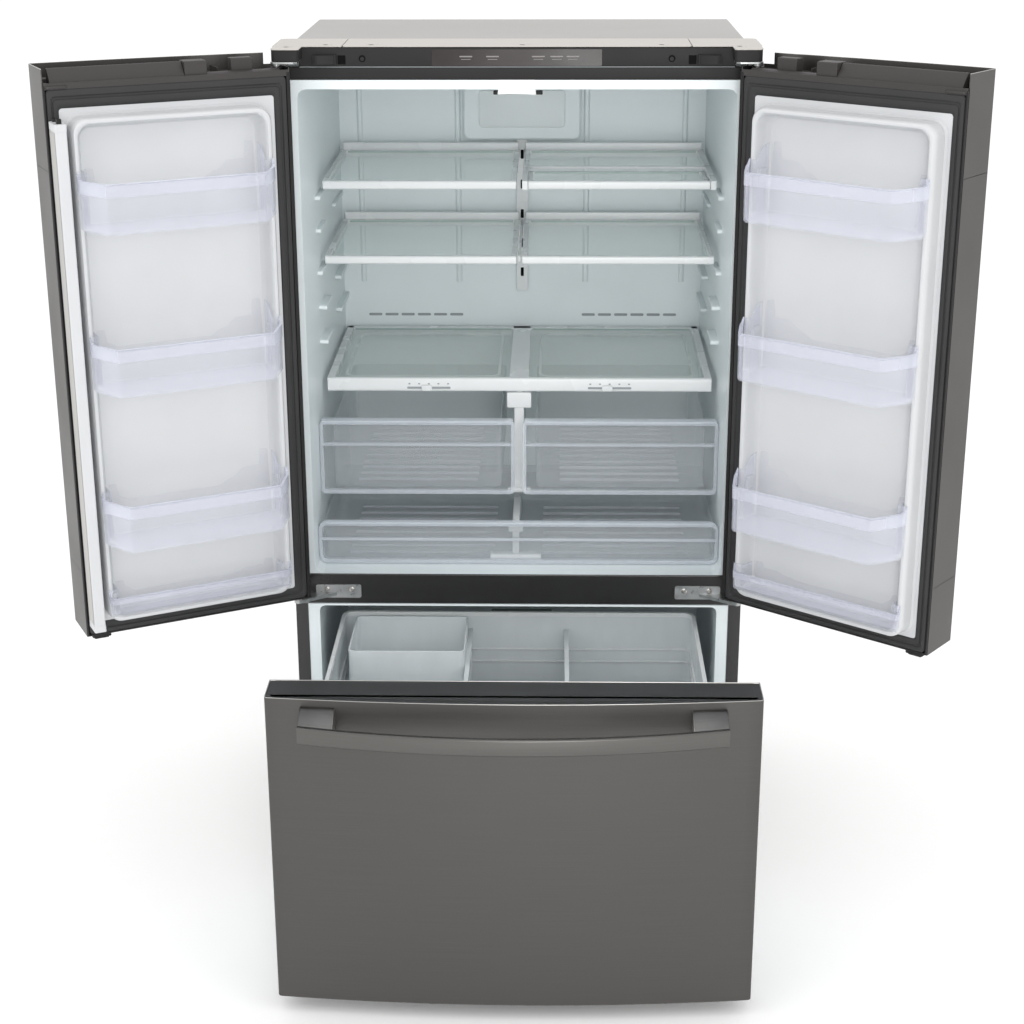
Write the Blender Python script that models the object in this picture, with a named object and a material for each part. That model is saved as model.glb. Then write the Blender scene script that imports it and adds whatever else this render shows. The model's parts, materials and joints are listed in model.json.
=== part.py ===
"""French door refrigerator with a bottom freezer drawer.

It stands with both doors swung open and the freezer drawer pulled out.
Units are metres. X is to the right, Y runs to the back and Z is up.
Every piece is drawn where it sits with the doors and the drawer shut, with Y = 0 at
the cabinet's front face, and is then carried by the empty of its moving body.
"""

import math

import bmesh
import bpy
from mathutils import Vector

# Gaps and sheet thicknesses
GAP = 0.0003
SHEET = 0.002
WALL = 0.003

# Cabinet
CASE_HALF = 0.454
CASE_BOTTOM = 0.030
CASE_TOP = 1.750
CASE_DEPTH = 0.7523
FLANGE_INNER = 0.429
FOAM_HALF = CASE_HALF - SHEET - GAP
FOAM_BACK = CASE_DEPTH - SHEET - GAP
TOP_SETBACK = 0.0285
COVER_TOP = 1.7735
COVER_BACK = 0.125
COVER_SEAM = 0.324
TRIM_HALF = 0.405
TRIM_DEPTH = 0.0125
TRIM_BOTTOM = 1.7122
TRIM_TOP = 1.7705

# Fresh food space
FOOD_HALF_FRONT = 0.411
FOOD_HALF_BACK = 0.404
FOOD_BOTTOM = 0.7232
FOOD_TOP = 1.694
FOOD_BACK = 0.655
FOOD_CORNER = 0.016

# Rail between the two spaces
RAIL_BOTTOM = 0.6590
RAIL_TOP = FOOD_BOTTOM
RAIL_DEPTH = 0.020

# Freezer space and machine compartment
FREEZER_HALF = 0.4055
FREEZER_BOTTOM = 0.090
FREEZER_TOP = 0.654
FREEZER_BACK = 0.500
BASE_BOTTOM = 0.050
MACHINE_FRONT = 0.550
MACHINE_HALF = 0.440
MACHINE_TOP = 0.300

# Doors, in their shut places
HINGE_X = 0.4413
HINGE_Y = -0.0412
LEFT_OPEN_DEG = 153.12
RIGHT_OPEN_DEG = 142.32
DOOR_FREE = 0.0015
DOOR_BOTTOM = 0.697
DOOR_TOP = 1.763
DOOR_BACK = -0.008
BOW_MIDDLE = -0.104
BOW_RISE = 0.026
DOOR_EDGE_R = 0.006
FREE_EDGE_EASE = 0.003
TROUGH_FLOOR = 1.735
TROUGH_WALL = 0.0045
TROUGH_OPEN_FROM = 0.320
PIN_R = 0.005
LOWER_PIN_R = 0.0055
SOCKET_R = 0.0065

# Door liner dam and bins: distances from the cabinet's middle plane
DAM_FREE = 0.036
DAM_HINGE = 0.402
DAM_BOTTOM = 0.735
DAM_TOP = 1.681
DAM_RISE = 0.040
DAM_WIDTH = 0.0125
BIN_BACK = -0.0045
BIN_FRONT = 0.115
LOW_BIN_FRONT = 0.0515
BIN_HEIGHT = 0.089
LOW_BIN_HEIGHT = 0.051
BIN_CORNER_CUT = 0.030
LOW_BIN_CORNER_CUT = 0.002
BIN_BOTTOMS = (1.486, 1.192, 0.896)
LOW_BIN_BOTTOM = 0.752

# Flip mullion on the left door
MULLION_X = -0.015
MULLION_Y = 0.012
MULLION_HALF = 0.011
MULLION_REACH = 0.041
MULLION_BOTTOM = 0.727
MULLION_TOP = 1.675

# Freezer drawer
DRAWER_TRAVEL = 0.385
DRAWER_BOTTOM = 0.034
DRAWER_TOP = 0.666
DRAWER_BACK = -0.006
DRAWER_BOW_MIDDLE = -0.109
DRAWER_BOW_RISE = 0.025
BASKET_HALF = 0.365
BASKET_TOP = 0.600
DIVIDER_X = 0.100

# Shelves
SHELF_INNER = 0.006
SHELF_OUTER = 0.397
SHELF_FRONT = 0.235
SHELF_BACK = 0.630
UPPER_SHELF = (1.464, 1.482)
LOWER_SHELF = (1.311, 1.328)
SHELF_PLATE = 0.005
SHELF_RAIL = 0.012
SHELF_LIP = 0.017
FIXED_GLASS_FRONT = 0.410

# Rest, feet and rollers
LEG_X = 0.400
LEG_Y = 0.050
ROLLER_X = 0.380
ROLLER_Y = 0.680
ROLLER_R = 0.022
ROLLER_HALF_WIDTH = 0.015
AXLE_R = 0.004
ROLLER_BORE_R = 0.0045

ROUND_SIDES = 16
CORNER_STEPS = 3
BOW_STEPS = 8

# name: (linear colour, roughness, metallic)
FINISHES = {
    "brushed_steel": ((0.215, 0.205, 0.195), 0.32, 1.0),
    "case_paint": ((0.46, 0.43, 0.41), 0.45, 0.0),
    "cover_plastic": ((0.55, 0.53, 0.50), 0.50, 0.0),
    "dark_plastic": ((0.030, 0.028, 0.028), 0.40, 0.0),
    "black_paint": ((0.012, 0.011, 0.011), 0.30, 0.0),
    "liner_white": ((0.66, 0.71, 0.72), 0.35, 0.0),
    "door_liner_white": ((0.74, 0.76, 0.77), 0.35, 0.0),
    "gasket_rubber": ((0.030, 0.030, 0.031), 0.65, 0.0),
    "clear_plastic": ((0.60, 0.64, 0.74), 0.15, 0.0),
    "shelf_white": ((0.78, 0.80, 0.80), 0.30, 0.0),
    "zinc_steel": ((0.27, 0.28, 0.28), 0.35, 1.0),
    "galvanised": ((0.40, 0.41, 0.42), 0.45, 1.0),
    "roller_nylon": ((0.60, 0.60, 0.58), 0.50, 0.0),
}

anchors = {}


def clear_scene():
    """Remove every object that the file opened with."""
    for existing in list(bpy.data.objects):
        bpy.data.objects.remove(existing, do_unlink=True)


def finish_material(name):
    """Return the material of this finish, made the first time it is asked for."""
    material = bpy.data.materials.get(name)
    if material:
        return material
    colour, roughness, metallic = FINISHES[name]
    material = bpy.data.materials.new(name)
    material.use_nodes = True
    shader = material.node_tree.nodes["Principled BSDF"]
    shader.inputs["Base Color"].default_value = (*colour, 1.0)
    shader.inputs["Roughness"].default_value = roughness
    shader.inputs["Metallic"].default_value = metallic
    return material


def body(name, point=(0.0, 0.0, 0.0), parent=None, turn_deg=0.0, slide=(0.0, 0.0, 0.0)):
    """Make the empty that carries a body: its joint's axis runs through point."""
    empty = bpy.data.objects.new("axis_" + name, None)
    bpy.context.scene.collection.objects.link(empty)
    anchors[empty.name] = Vector(point)
    empty.parent = parent
    start = anchors[parent.name] if parent else Vector()
    empty.location = Vector(point) - start + Vector(slide)
    empty.rotation_euler.z = math.radians(turn_deg)
    return empty


def rect(u0, u1, v0, v1):
    """Outline of a plain rectangle."""
    return [(u0, v0), (u1, v0), (u1, v1), (u0, v1)]


def rounded(u0, u1, v0, v1, radius, steps=CORNER_STEPS):
    """Outline of a rectangle with round corners, anticlockwise from the lower left."""
    corners = (
        (u0 + radius, v0 + radius, 180),
        (u1 - radius, v0 + radius, 270),
        (u1 - radius, v1 - radius, 0),
        (u0 + radius, v1 - radius, 90),
    )
    points = []
    for cu, cv, start in corners:
        for step in range(steps + 1):
            angle = math.radians(start + 90 * step / steps)
            points.append((cu + radius * math.cos(angle), cv + radius * math.sin(angle)))
    return points


def circle(cu, cv, radius, sides=ROUND_SIDES):
    """Outline of a circle."""
    turn = 2 * math.pi / sides
    return [(cu + radius * math.cos(turn * i), cv + radius * math.sin(turn * i)) for i in range(sides)]


def arc(cu, cv, radius, start_deg, end_deg, steps):
    """Points along an arc, ends included."""
    points = []
    for step in range(steps + 1):
        angle = math.radians(start_deg + (end_deg - start_deg) * step / steps)
        points.append((cu + radius * math.cos(angle), cv + radius * math.sin(angle)))
    return points


def area(outline):
    """Signed area, positive when the outline runs anticlockwise."""
    pairs = zip(outline, outline[1:] + outline[:1])
    return 0.5 * sum(a[0] * b[1] - b[0] * a[1] for a, b in pairs)


def inset(outline, distance):
    """Move every side of the outline inwards by the distance, keeping its corners."""
    side = 1.0 if area(outline) > 0 else -1.0
    moved = []
    count = len(outline)
    for i, point in enumerate(outline):
        before = Vector(point) - Vector(outline[i - 1])
        after = Vector(outline[(i + 1) % count]) - Vector(point)
        n1 = Vector((-before.y, before.x)).normalized() * side
        n2 = Vector((-after.y, after.x)).normalized() * side
        mitre = (n1 + n2) / (1.0 + n1.dot(n2))
        moved.append((point[0] + distance * mitre.x, point[1] + distance * mitre.y))
    return moved


def flip(outline, side):
    """Mirror an outline about the middle plane when side is -1."""
    return [(side * u, v) for u, v in outline]


def at_x(outline, x):
    """Ring of (y, z) points at this x."""
    return [(x, y, z) for y, z in outline]


def at_y(outline, y):
    """Ring of (x, z) points at this y."""
    return [(x, y, z) for x, z in outline]


def at_z(outline, z):
    """Ring of (x, y) points at this z."""
    return [(x, y, z) for x, y in outline]


def loft(name, carrier, finish, rings, wrap=False):
    """Skin rings of equal point count into one closed body.

    The first and last rings are capped, or with wrap joined to each other.
    """
    shape = bmesh.new()
    origin = anchors[carrier.name]
    loops = [[shape.verts.new(Vector(p) - origin) for p in ring] for ring in rings]
    pairs = list(zip(loops, loops[1:]))
    if wrap:
        pairs.append((loops[-1], loops[0]))
    else:
        shape.faces.new(loops[0])
        shape.faces.new(loops[-1])
    count = len(loops[0])
    for low, high in pairs:
        for i in range(count):
            j = (i + 1) % count
            shape.faces.new((low[i], low[j], high[j], high[i]))
    bmesh.ops.remove_doubles(shape, verts=shape.verts, dist=1e-6)
    bmesh.ops.recalc_face_normals(shape, faces=shape.faces)
    mesh = bpy.data.meshes.new(name)
    shape.to_mesh(mesh)
    shape.free()
    mesh.materials.append(finish_material(finish))
    piece = bpy.data.objects.new(name, mesh)
    bpy.context.scene.collection.objects.link(piece)
    piece.parent = carrier
    return piece


def block(name, carrier, finish, x, y, z):
    """A box between the (low, high) pairs x, y and z."""
    outline = rect(min(x), max(x), min(y), max(y))
    return loft(name, carrier, finish, [at_z(outline, min(z)), at_z(outline, max(z))])


def combine(piece, other, operation):
    """Add a Boolean that joins or cuts the helper, and hide the helper."""
    other.hide_render = True
    other.display_type = "WIRE"
    modifier = piece.modifiers.new(other.name, "BOOLEAN")
    modifier.operation = operation
    modifier.solver = "EXACT"
    modifier.object = other
    return piece


def cut(piece, other):
    """Take the helper's shape out of the piece."""
    return combine(piece, other, "DIFFERENCE")


def join(piece, other):
    """Make the helper's shape part of the piece."""
    return combine(piece, other, "UNION")


def smooth(piece, angle_deg=35):
    """Shade round faces smooth and keep real edges sharp."""
    piece.data.shade_smooth()
    piece.data.set_sharp_from_angle(angle=math.radians(angle_deg))
    return piece


def side_name(side):
    """The word for this side of the cabinet."""
    return "left" if side < 0 else "right"


# Cabinet shell ---------------------------------------------------------------


def make_wrapper(root):
    """The folded sheet over both sides and the top, with its front flanges."""
    r = 0.004
    inner = CASE_HALF - SHEET
    outline = [(-CASE_HALF, CASE_BOTTOM), (-inner, CASE_BOTTOM)]
    outline += [(-inner, CASE_TOP - SHEET), (inner, CASE_TOP - SHEET)]
    outline += [(inner, CASE_BOTTOM), (CASE_HALF, CASE_BOTTOM)]
    outline += arc(CASE_HALF - r, CASE_TOP - r, r, 0, 90, 3)
    outline += arc(-CASE_HALF + r, CASE_TOP - r, r, 90, 180, 3)
    rings = [at_y(outline, 0.0), at_y(outline, CASE_DEPTH)]
    wrapper = loft("cabinet_wrapper", root, "case_paint", rings)
    for side in (-1, 1):
        flange = block(
            "flange_" + side_name(side), root, "case_paint",
            (side * FLANGE_INNER, side * (CASE_HALF - 0.001)), (0.0, SHEET), (CASE_BOTTOM, CASE_TOP - 0.001),
        )
        join(wrapper, flange)
    notch = block(
        "wrapper_notch", root, "case_paint",
        (-FLANGE_INNER + 0.0005, FLANGE_INNER - 0.0005), (-0.01, TOP_SETBACK), (1.740, 1.760),
    )
    return cut(wrapper, notch)


def foam_rings(front, steps, back, cavity, opening, cavity_y):
    """Rings from a cavity's back wall, out round its mouth and back over the foam's outside.

    steps holds (y, outline) for each change of the outside on the way back.
    """
    rings = [at_y(cavity, cavity_y), at_y(opening, 0.0), at_y(front, 0.0)]
    last = front
    for y, outline in steps:
        rings.append(at_y(last, y))
        rings.append(at_y(outline, y))
        last = outline
    rings.append(at_y(last, back))
    return rings


def foam_outline(half, bottom, top, step):
    """Outline of the foam's outside; each step towards the front is a hair smaller all round."""
    trim = step * GAP
    return rounded(-half + trim, half - trim, bottom + trim, top - trim, 0.002)


def make_fridge_liner(root):
    """White liner of the fresh food space, bonded to the foam behind it."""
    face = FLANGE_INNER - GAP
    top_face = TRIM_BOTTOM - 0.0005
    bottom_face = RAIL_TOP + GAP
    front = foam_outline(face, bottom_face, top_face, 3)
    behind_flange = foam_outline(FOAM_HALF, bottom_face, top_face, 2)
    behind_rail = foam_outline(FOAM_HALF, 0.691, top_face, 1)
    full = foam_outline(FOAM_HALF, 0.691, CASE_TOP - SHEET - GAP, 0)
    steps = [(SHEET + GAP, behind_flange), (RAIL_DEPTH + 0.0005, behind_rail), (TOP_SETBACK, full)]
    bottom = FOOD_BOTTOM + 0.001
    cavity = rounded(-FOOD_HALF_BACK, FOOD_HALF_BACK, bottom, FOOD_TOP, FOOD_CORNER)
    opening = rounded(-FOOD_HALF_FRONT, FOOD_HALF_FRONT, bottom, FOOD_TOP, FOOD_CORNER)
    rings = foam_rings(front, steps, FOAM_BACK, cavity, opening, FOOD_BACK)
    return smooth(loft("fridge_liner", root, "liner_white", rings))


def make_freezer_liner(root):
    """White liner of the freezer space and its foam, stepped over the machine compartment."""
    face = FLANGE_INNER - GAP
    top_face = RAIL_BOTTOM - 0.0005
    front = foam_outline(face, BASE_BOTTOM, top_face, 2)
    behind_flange = foam_outline(FOAM_HALF, BASE_BOTTOM, top_face, 1)
    full = foam_outline(FOAM_HALF, BASE_BOTTOM, 0.6907, 0)
    steps = [(SHEET + GAP, behind_flange), (RAIL_DEPTH + 0.0005, full)]
    opening = rounded(-FREEZER_HALF, FREEZER_HALF, FREEZER_BOTTOM, FREEZER_TOP, 0.012)
    rings = foam_rings(front, steps, FOAM_BACK, opening, opening, FREEZER_BACK)
    liner = loft("freezer_liner", root, "liner_white", rings)
    machine = block(
        "machine_space", root, "liner_white",
        (-MACHINE_HALF, MACHINE_HALF), (MACHINE_FRONT, 0.80), (0.0, MACHINE_TOP),
    )
    return smooth(cut(liner, machine))


def make_rear_panel(root):
    """Flat galvanised sheet over the back of the foam."""
    edge = FOAM_HALF - 0.0002
    outline = rounded(-edge, edge, MACHINE_TOP + 0.005, CASE_TOP - SHEET - GAP, 0.002, 1)
    rings = [at_y(outline, CASE_DEPTH - SHEET), at_y(outline, CASE_DEPTH)]
    return loft("rear_panel", root, "galvanised", rings)


def make_compressor_cover(root):
    """Vented back cover and floor pan of the machine compartment, with the roller forks."""
    edge = FOAM_HALF - 0.0002
    cover = block(
        "compressor_cover", root, "galvanised",
        (-edge, edge), (CASE_DEPTH - SHEET, CASE_DEPTH), (BASE_BOTTOM, MACHINE_TOP + 0.0045),
    )
    pan = block(
        "machine_pan", root, "galvanised",
        (-0.4387, 0.4387), (MACHINE_FRONT + 0.003, CASE_DEPTH - 0.001), (BASE_BOTTOM, BASE_BOTTOM + SHEET),
    )
    join(cover, pan)
    for side in (-1, 1):
        for offset in (-0.0205, 0.0205):
            x = side * ROLLER_X + offset
            fork = block(
                "fork_%s_%d" % (side_name(side), 1000 * offset), root, "galvanised",
                (x - 0.0015, x + 0.0015), (ROLLER_Y - 0.014, ROLLER_Y + 0.014), (0.012, BASE_BOTTOM + 0.001),
            )
            join(cover, fork)
        ring = circle(ROLLER_Y, ROLLER_R, AXLE_R, 12)
        ends = (side * ROLLER_X - 0.0205, side * ROLLER_X + 0.0205)
        axle = loft("axle_" + side_name(side), root, "galvanised", [at_x(ring, x) for x in ends])
        join(cover, axle)
    for row in range(2):
        for column in range(8):
            x = -0.350 + 0.100 * column
            z = 0.140 + 0.080 * row
            slot = block(
                "vent_%d_%d" % (row, column), root, "galvanised",
                (x - 0.035, x + 0.035), (CASE_DEPTH - 0.010, CASE_DEPTH + 0.010), (z, z + 0.008),
            )
            cut(cover, slot)
    return cover


def make_centre_rail(root):
    """Black rail across the front between the fresh food space and the freezer."""
    half = FLANGE_INNER - 0.0008
    r = 0.002
    outline = rounded(0.0, RAIL_DEPTH, RAIL_BOTTOM, RAIL_TOP, r, 2)
    return loft("centre_rail", root, "black_paint", [at_x(outline, -half), at_x(outline, half)])


def make_top_trim(root):
    """Dark strip above the fresh food space that holds the control panel and door switches."""
    outline = rounded(0.0, TRIM_DEPTH, TRIM_BOTTOM, TRIM_TOP, 0.002, 2)
    return loft("top_trim", root, "dark_plastic", [at_x(outline, -TRIM_HALF), at_x(outline, TRIM_HALF)])


def cover_shell(name, root, x0, x1, notch_x):
    """A shallow plastic cover open below, its front cleared for the trim and hinge arms."""
    front = -0.001
    wall = 0.0025
    low = CASE_TOP + GAP
    outer = rounded(x0, x1, front, COVER_BACK, 0.006)
    inner = inset(outer, wall)
    rings = [at_z(inner, COVER_TOP - wall), at_z(inner, low), at_z(outer, low)]
    rings += [at_z(outer, COVER_TOP - 0.0015), at_z(inset(outer, 0.0015), COVER_TOP)]
    cover = loft(name, root, "cover_plastic", rings)
    notch = block(name + "_notch", root, "cover_plastic", notch_x, (-0.02, TRIM_DEPTH + GAP), (1.74, COVER_TOP - 0.0027))
    return smooth(cut(cover, notch))


def make_top_covers(root):
    """The centre cover and the two hinge covers on top of the case."""
    for side in (-1, 1):
        xs = sorted((side * COVER_SEAM, side * CASE_HALF))
        cover_shell("hinge_cover_" + side_name(side), root, xs[0], xs[1], (side * 0.31, side * 0.4508))
    edge = COVER_SEAM - 0.0005
    cover_shell("top_cover_centre", root, -edge, edge, (-0.33, 0.33))


def make_top_hinge(root, side):
    """Riser block, arm and pin that carry a door from above."""
    word = side_name(side)
    riser = block(
        "top_hinge_" + word, root, "zinc_steel",
        (side * 0.340, side * 0.4495), (0.035, 0.115), (CASE_TOP + GAP, 1.7655),
    )
    half = 0.009
    outline = [(HINGE_X + half, HINGE_Y), (HINGE_X + half, 0.110), (HINGE_X - half, 0.110)]
    outline += arc(HINGE_X, HINGE_Y, half, 180, 315, 6)
    outline = flip(outline, side)
    arm = loft("top_arm_" + word, root, "zinc_steel", [at_z(outline, 1.7645), at_z(outline, TRIM_TOP)])
    ring = circle(side * HINGE_X, HINGE_Y, PIN_R)
    pin = loft("top_pin_" + word, root, "zinc_steel", [at_z(ring, 1.7225), at_z(ring, 1.7660)])
    return join(join(riser, arm), pin)


def make_middle_hinge(root, side):
    """Plate on the centre rail, arm and upward pin that carry a door from below."""
    word = side_name(side)
    outline = rounded(0.319, 0.411, 0.672, 0.7005, 0.003, 2)
    rings = [at_y(flip(outline, side), y) for y in (-0.0025, -GAP)]
    plate = loft("middle_hinge_" + word, root, "zinc_steel", rings)
    outline = [(0.370, -0.0008)] + arc(HINGE_X, HINGE_Y, 0.0095, 225, 405, 8) + [(0.4105, -0.0008)]
    outline = flip(outline, side)
    arm = loft("middle_arm_" + word, root, "zinc_steel", [at_z(outline, 0.678), at_z(outline, 0.684)])
    ring = circle(side * HINGE_X, HINGE_Y, LOWER_PIN_R)
    pin = loft("middle_pin_" + word, root, "zinc_steel", [at_z(ring, 0.6830), at_z(ring, 0.7110)])
    return join(join(plate, arm), pin)


# Inside the fresh food space -------------------------------------------------


def make_air_duct_cover(root):
    """Cover of the air duct and ceiling light at the top of the back wall."""
    outline = rounded(-0.130, 0.130, 1.503, 1.690, 0.012)
    rings = [at_y(inset(outline, 0.004), 0.628), at_y(outline, 0.633), at_y(outline, FOOD_BACK - 0.0005)]
    return smooth(loft("air_duct_cover", root, "liner_white", rings))


def shelf_side(side):
    """(low, high) x of a half-width shelf."""
    return sorted((side * SHELF_INNER, side * SHELF_OUTER))


def make_tray_shelf(name, root, side, z):
    """A framed shelf: a plate with a deep front bar, side rails and a raised back lip."""
    x0, x1 = shelf_side(side)
    outer = rect(x0, x1, SHELF_FRONT, SHELF_BACK)
    inner = inset(outer, SHELF_RAIL)
    low, high = z
    rings = [at_z(inner, high - SHELF_PLATE), at_z(inner, low), at_z(outer, low), at_z(outer, high)]
    shelf = loft(name, root, "shelf_white", rings)
    lip = block(name + "_lip", root, "shelf_white", (x0 + 0.001, x1 - 0.001),
                (SHELF_BACK - 0.008, SHELF_BACK - 0.0005), (high - 0.003, high + SHELF_LIP))
    return join(shelf, lip)


def make_sliding_shelf(root, slide_under):
    """Upper right shelf: side rails with fixed rear glass, and a front half that slides under it."""
    x0, x1 = shelf_side(1)
    low, high = UPPER_SHELF
    rear = block("shelf_upper_right", root, "shelf_white", (x0, x1), (FIXED_GLASS_FRONT, SHELF_BACK), (high - 0.006, high))
    for name, a, b in (("inner", x0, x0 + SHELF_RAIL), ("outer", x1 - SHELF_RAIL, x1)):
        rail = block("shelf_rail_" + name, root, "shelf_white", (a, b), (SHELF_FRONT, SHELF_BACK - 0.001), (low, high - 0.001))
        join(rear, rail)
    lip = block("shelf_rail_lip", root, "shelf_white", (x0 + 0.001, x1 - 0.001),
                (SHELF_BACK - 0.008, SHELF_BACK - 0.0005), (high - 0.003, high + SHELF_LIP))
    join(rear, lip)
    clear = SHELF_RAIL + 0.0005
    xs = (x0 + clear, x1 - clear)
    bar = block("shelf_slide_under", slide_under, "shelf_white", xs, (SHELF_FRONT, SHELF_FRONT + 0.012), (low, high))
    plate = block("slide_under_plate", slide_under, "shelf_white", xs,
                  (SHELF_FRONT + 0.006, FIXED_GLASS_FRONT - 0.005), (high - 0.013, high - 0.0085))
    return join(bar, plate)


def make_crisper_cover(root):
    """Glass-topped cover over the crispers, with the centre support between them."""
    outer = rect(-SHELF_OUTER, SHELF_OUTER, 0.200, 0.640)
    inner = inset(outer, SHELF_RAIL)
    rings = [at_z(inner, 1.074), at_z(inner, 1.051), at_z(outer, 1.051), at_z(outer, 1.080)]
    cover = loft("crisper_cover", root, "shelf_white", rings)
    support = block("centre_support", root, "shelf_white", (-0.0055, 0.0055), (0.201, 0.620), (0.830, 1.076))
    return join(cover, support)


def make_crisper(carrier, side):
    """Clear crisper drawer with its wide front bezel."""
    word = side_name(side)
    floor, rim = 0.860, 1.000
    outer = rounded(0.035, 0.383, 0.1365, 0.600, 0.014, 2)
    inner = inset(outer, WALL)
    rings = [at_z(inset(outer, 0.006), floor), at_z(outer, floor + 0.008), at_z(outer, rim)]
    rings += [at_z(inner, rim), at_z(inner, floor + 0.008), at_z(inset(inner, 0.006), floor + WALL)]
    rings = [[(side * x, y, z) for x, y, z in ring] for ring in rings]
    tub = loft("crisper_" + word, carrier, "clear_plastic", rings)
    outline = flip(rounded(0.008, 0.4085, 0.852, 1.010, 0.006, 2), side)
    bezel = loft("crisper_bezel_" + word, carrier, "clear_plastic", [at_y(outline, y) for y in (0.125, 0.139)])
    return smooth(join(tub, bezel))


def make_deli_drawer(carrier):
    """Shallow full-width drawer on the floor of the fresh food space."""
    floor, rim, curve = 0.7257, 0.808, 0.014
    outer = rounded(-0.400, 0.400, 0.0645, 0.460, 0.018, 2)
    inner = inset(outer, WALL)
    rings = [at_z(inset(outer, curve), floor), at_z(outer, floor + curve), at_z(outer, rim)]
    rings += [at_z(inner, rim), at_z(inner, floor + curve), at_z(inset(inner, curve), floor + WALL)]
    tub = loft("deli_drawer", carrier, "clear_plastic", rings)
    outline = rounded(-0.409, 0.409, floor, 0.815, FOOD_CORNER, 3)
    front = loft("deli_front", carrier, "clear_plastic", [at_y(outline, y) for y in (0.0545, 0.0665)])
    return smooth(join(tub, front))


def make_humidity_knob(carrier, side, x):
    """Small slider on the front of the crisper cover."""
    outline = rounded(x - 0.011, x + 0.011, 1.0535, 1.0655, 0.004, 2)
    rings = [at_y(inset(outline, 0.001), 0.1930), at_y(outline, 0.1942), at_y(outline, 0.1996)]
    return smooth(loft("humidity_knob_" + side_name(side), carrier, "dark_plastic", rings))


def make_door_switch(carrier, side):
    """Flat lever that the top of a door presses in."""
    outline = flip(rounded(0.334, 0.380, -0.007, -0.001, 0.0025, 2), side)
    return smooth(loft("door_switch_" + side_name(side), carrier, "dark_plastic", [at_z(outline, 1.740), at_z(outline, 1.757)]))


# Doors -----------------------------------------------------------------------


def bow(x, middle, rise):
    """Y of a bowed front at this distance from the middle plane."""
    return middle + rise * (x / CASE_HALF) ** 2


def bowed_outline(x0, x1, back, middle, rise, edge_r):
    """Outline of a slab whose front follows the bow, with eased outer front corners."""
    points = [(x1, back), (x0, back)]
    if x0 < 0:
        points.append((x0, bow(x0, middle, rise) + edge_r))
        x_start = x0 + edge_r
    else:
        points.append((x0, bow(x0, middle, rise) + FREE_EDGE_EASE))
        x_start = x0 + FREE_EDGE_EASE
    x_end = x1 - edge_r
    for i in range(BOW_STEPS + 1):
        x = x_start + (x_end - x_start) * i / BOW_STEPS
        points.append((x, bow(x, middle, rise)))
    points.append((x1, bow(x1, middle, rise) + edge_r))
    return points


def open_backed(outline, distance, back, beyond):
    """The outline moved in from its front and ends, with its back edge moved out to beyond."""
    moved = inset(outline, distance)
    return [(x, beyond if y > back - 2 * distance else y) for x, y in moved]


def make_door_panel(carrier, side):
    """Steel skin of a door: front, edges, floor and the trough along its top, open at the back."""
    word = side_name(side)
    outer = bowed_outline(DOOR_FREE, CASE_HALF, DOOR_BACK, BOW_MIDDLE, BOW_RISE, DOOR_EDGE_R)
    trough = inset(outer, TROUGH_WALL)
    ease = inset(outer, 0.001)
    rings = [at_z(flip(ease, side), DOOR_BOTTOM), at_z(flip(outer, side), DOOR_BOTTOM + 0.001)]
    rings += [at_z(flip(outer, side), DOOR_TOP - 0.001), at_z(flip(ease, side), DOOR_TOP)]
    rings += [at_z(flip(trough, side), DOOR_TOP), at_z(flip(trough, side), TROUGH_FLOOR)]
    panel = loft("%s_door_panel" % word, carrier, "brushed_steel", rings)
    hollow = flip(open_backed(outer, SHEET, DOOR_BACK, 0.02), side)
    rings = [at_z(hollow, DOOR_BOTTOM + SHEET), at_z(hollow, TROUGH_FLOOR - SHEET)]
    cut(panel, loft("door_hollow_" + word, carrier, "brushed_steel", rings))
    clear = block("trough_gate_" + word, carrier, "brushed_steel",
                  (side * TROUGH_OPEN_FROM, side * 0.4475), (DOOR_BACK - 0.006, 0.02), (TROUGH_FLOOR + 0.0005, 1.78))
    cut(panel, clear)
    for place, low, high in (("upper", 1.7200, 1.7400), ("lower", 0.690, 0.7130)):
        ring = circle(side * HINGE_X, HINGE_Y, SOCKET_R)
        socket = loft("%s_socket_%s" % (place, word), carrier, "brushed_steel", [at_z(ring, low), at_z(ring, high)])
        cut(panel, socket)
    return smooth(panel, 20)


def make_door_liner(carrier, side):
    """White inner wall of a door with its raised dam, bonded to the foam that fills the skin."""
    word = side_name(side)
    outer = bowed_outline(DOOR_FREE, CASE_HALF, DOOR_BACK, BOW_MIDDLE, BOW_RISE, DOOR_EDGE_R)
    foam = flip(open_backed(outer, SHEET + GAP, DOOR_BACK, DOOR_BACK), side)
    rings = [at_z(foam, DOOR_BOTTOM + SHEET + GAP), at_z(foam, TROUGH_FLOOR - SHEET - GAP)]
    liner = loft("%s_door_liner" % word, carrier, "door_liner_white", rings)
    outside = rounded(DAM_FREE, DAM_HINGE, DAM_BOTTOM, DAM_TOP, 0.020)
    inside = inset(outside, DAM_WIDTH)
    low = DOOR_BACK - 0.004
    levels = ((outside, low), (outside, DAM_RISE - 0.003), (inset(outside, 0.003), DAM_RISE),
              (inset(inside, -0.002), DAM_RISE), (inside, DAM_RISE - 0.002), (inside, low))
    rings = [at_y(flip(outline, side), y) for outline, y in levels]
    join(liner, loft("door_dam_" + word, carrier, "door_liner_white", rings, wrap=True))
    for place, bottom, top in (("upper", 1.7200, 1.7400), ("lower", 0.690, 0.7130)):
        ring = circle(side * HINGE_X, HINGE_Y, SOCKET_R)
        socket = loft("%s_foam_socket_%s" % (place, word), carrier, "door_liner_white", [at_z(ring, bottom), at_z(ring, top)])
        cut(liner, socket)
    return smooth(liner)


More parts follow.
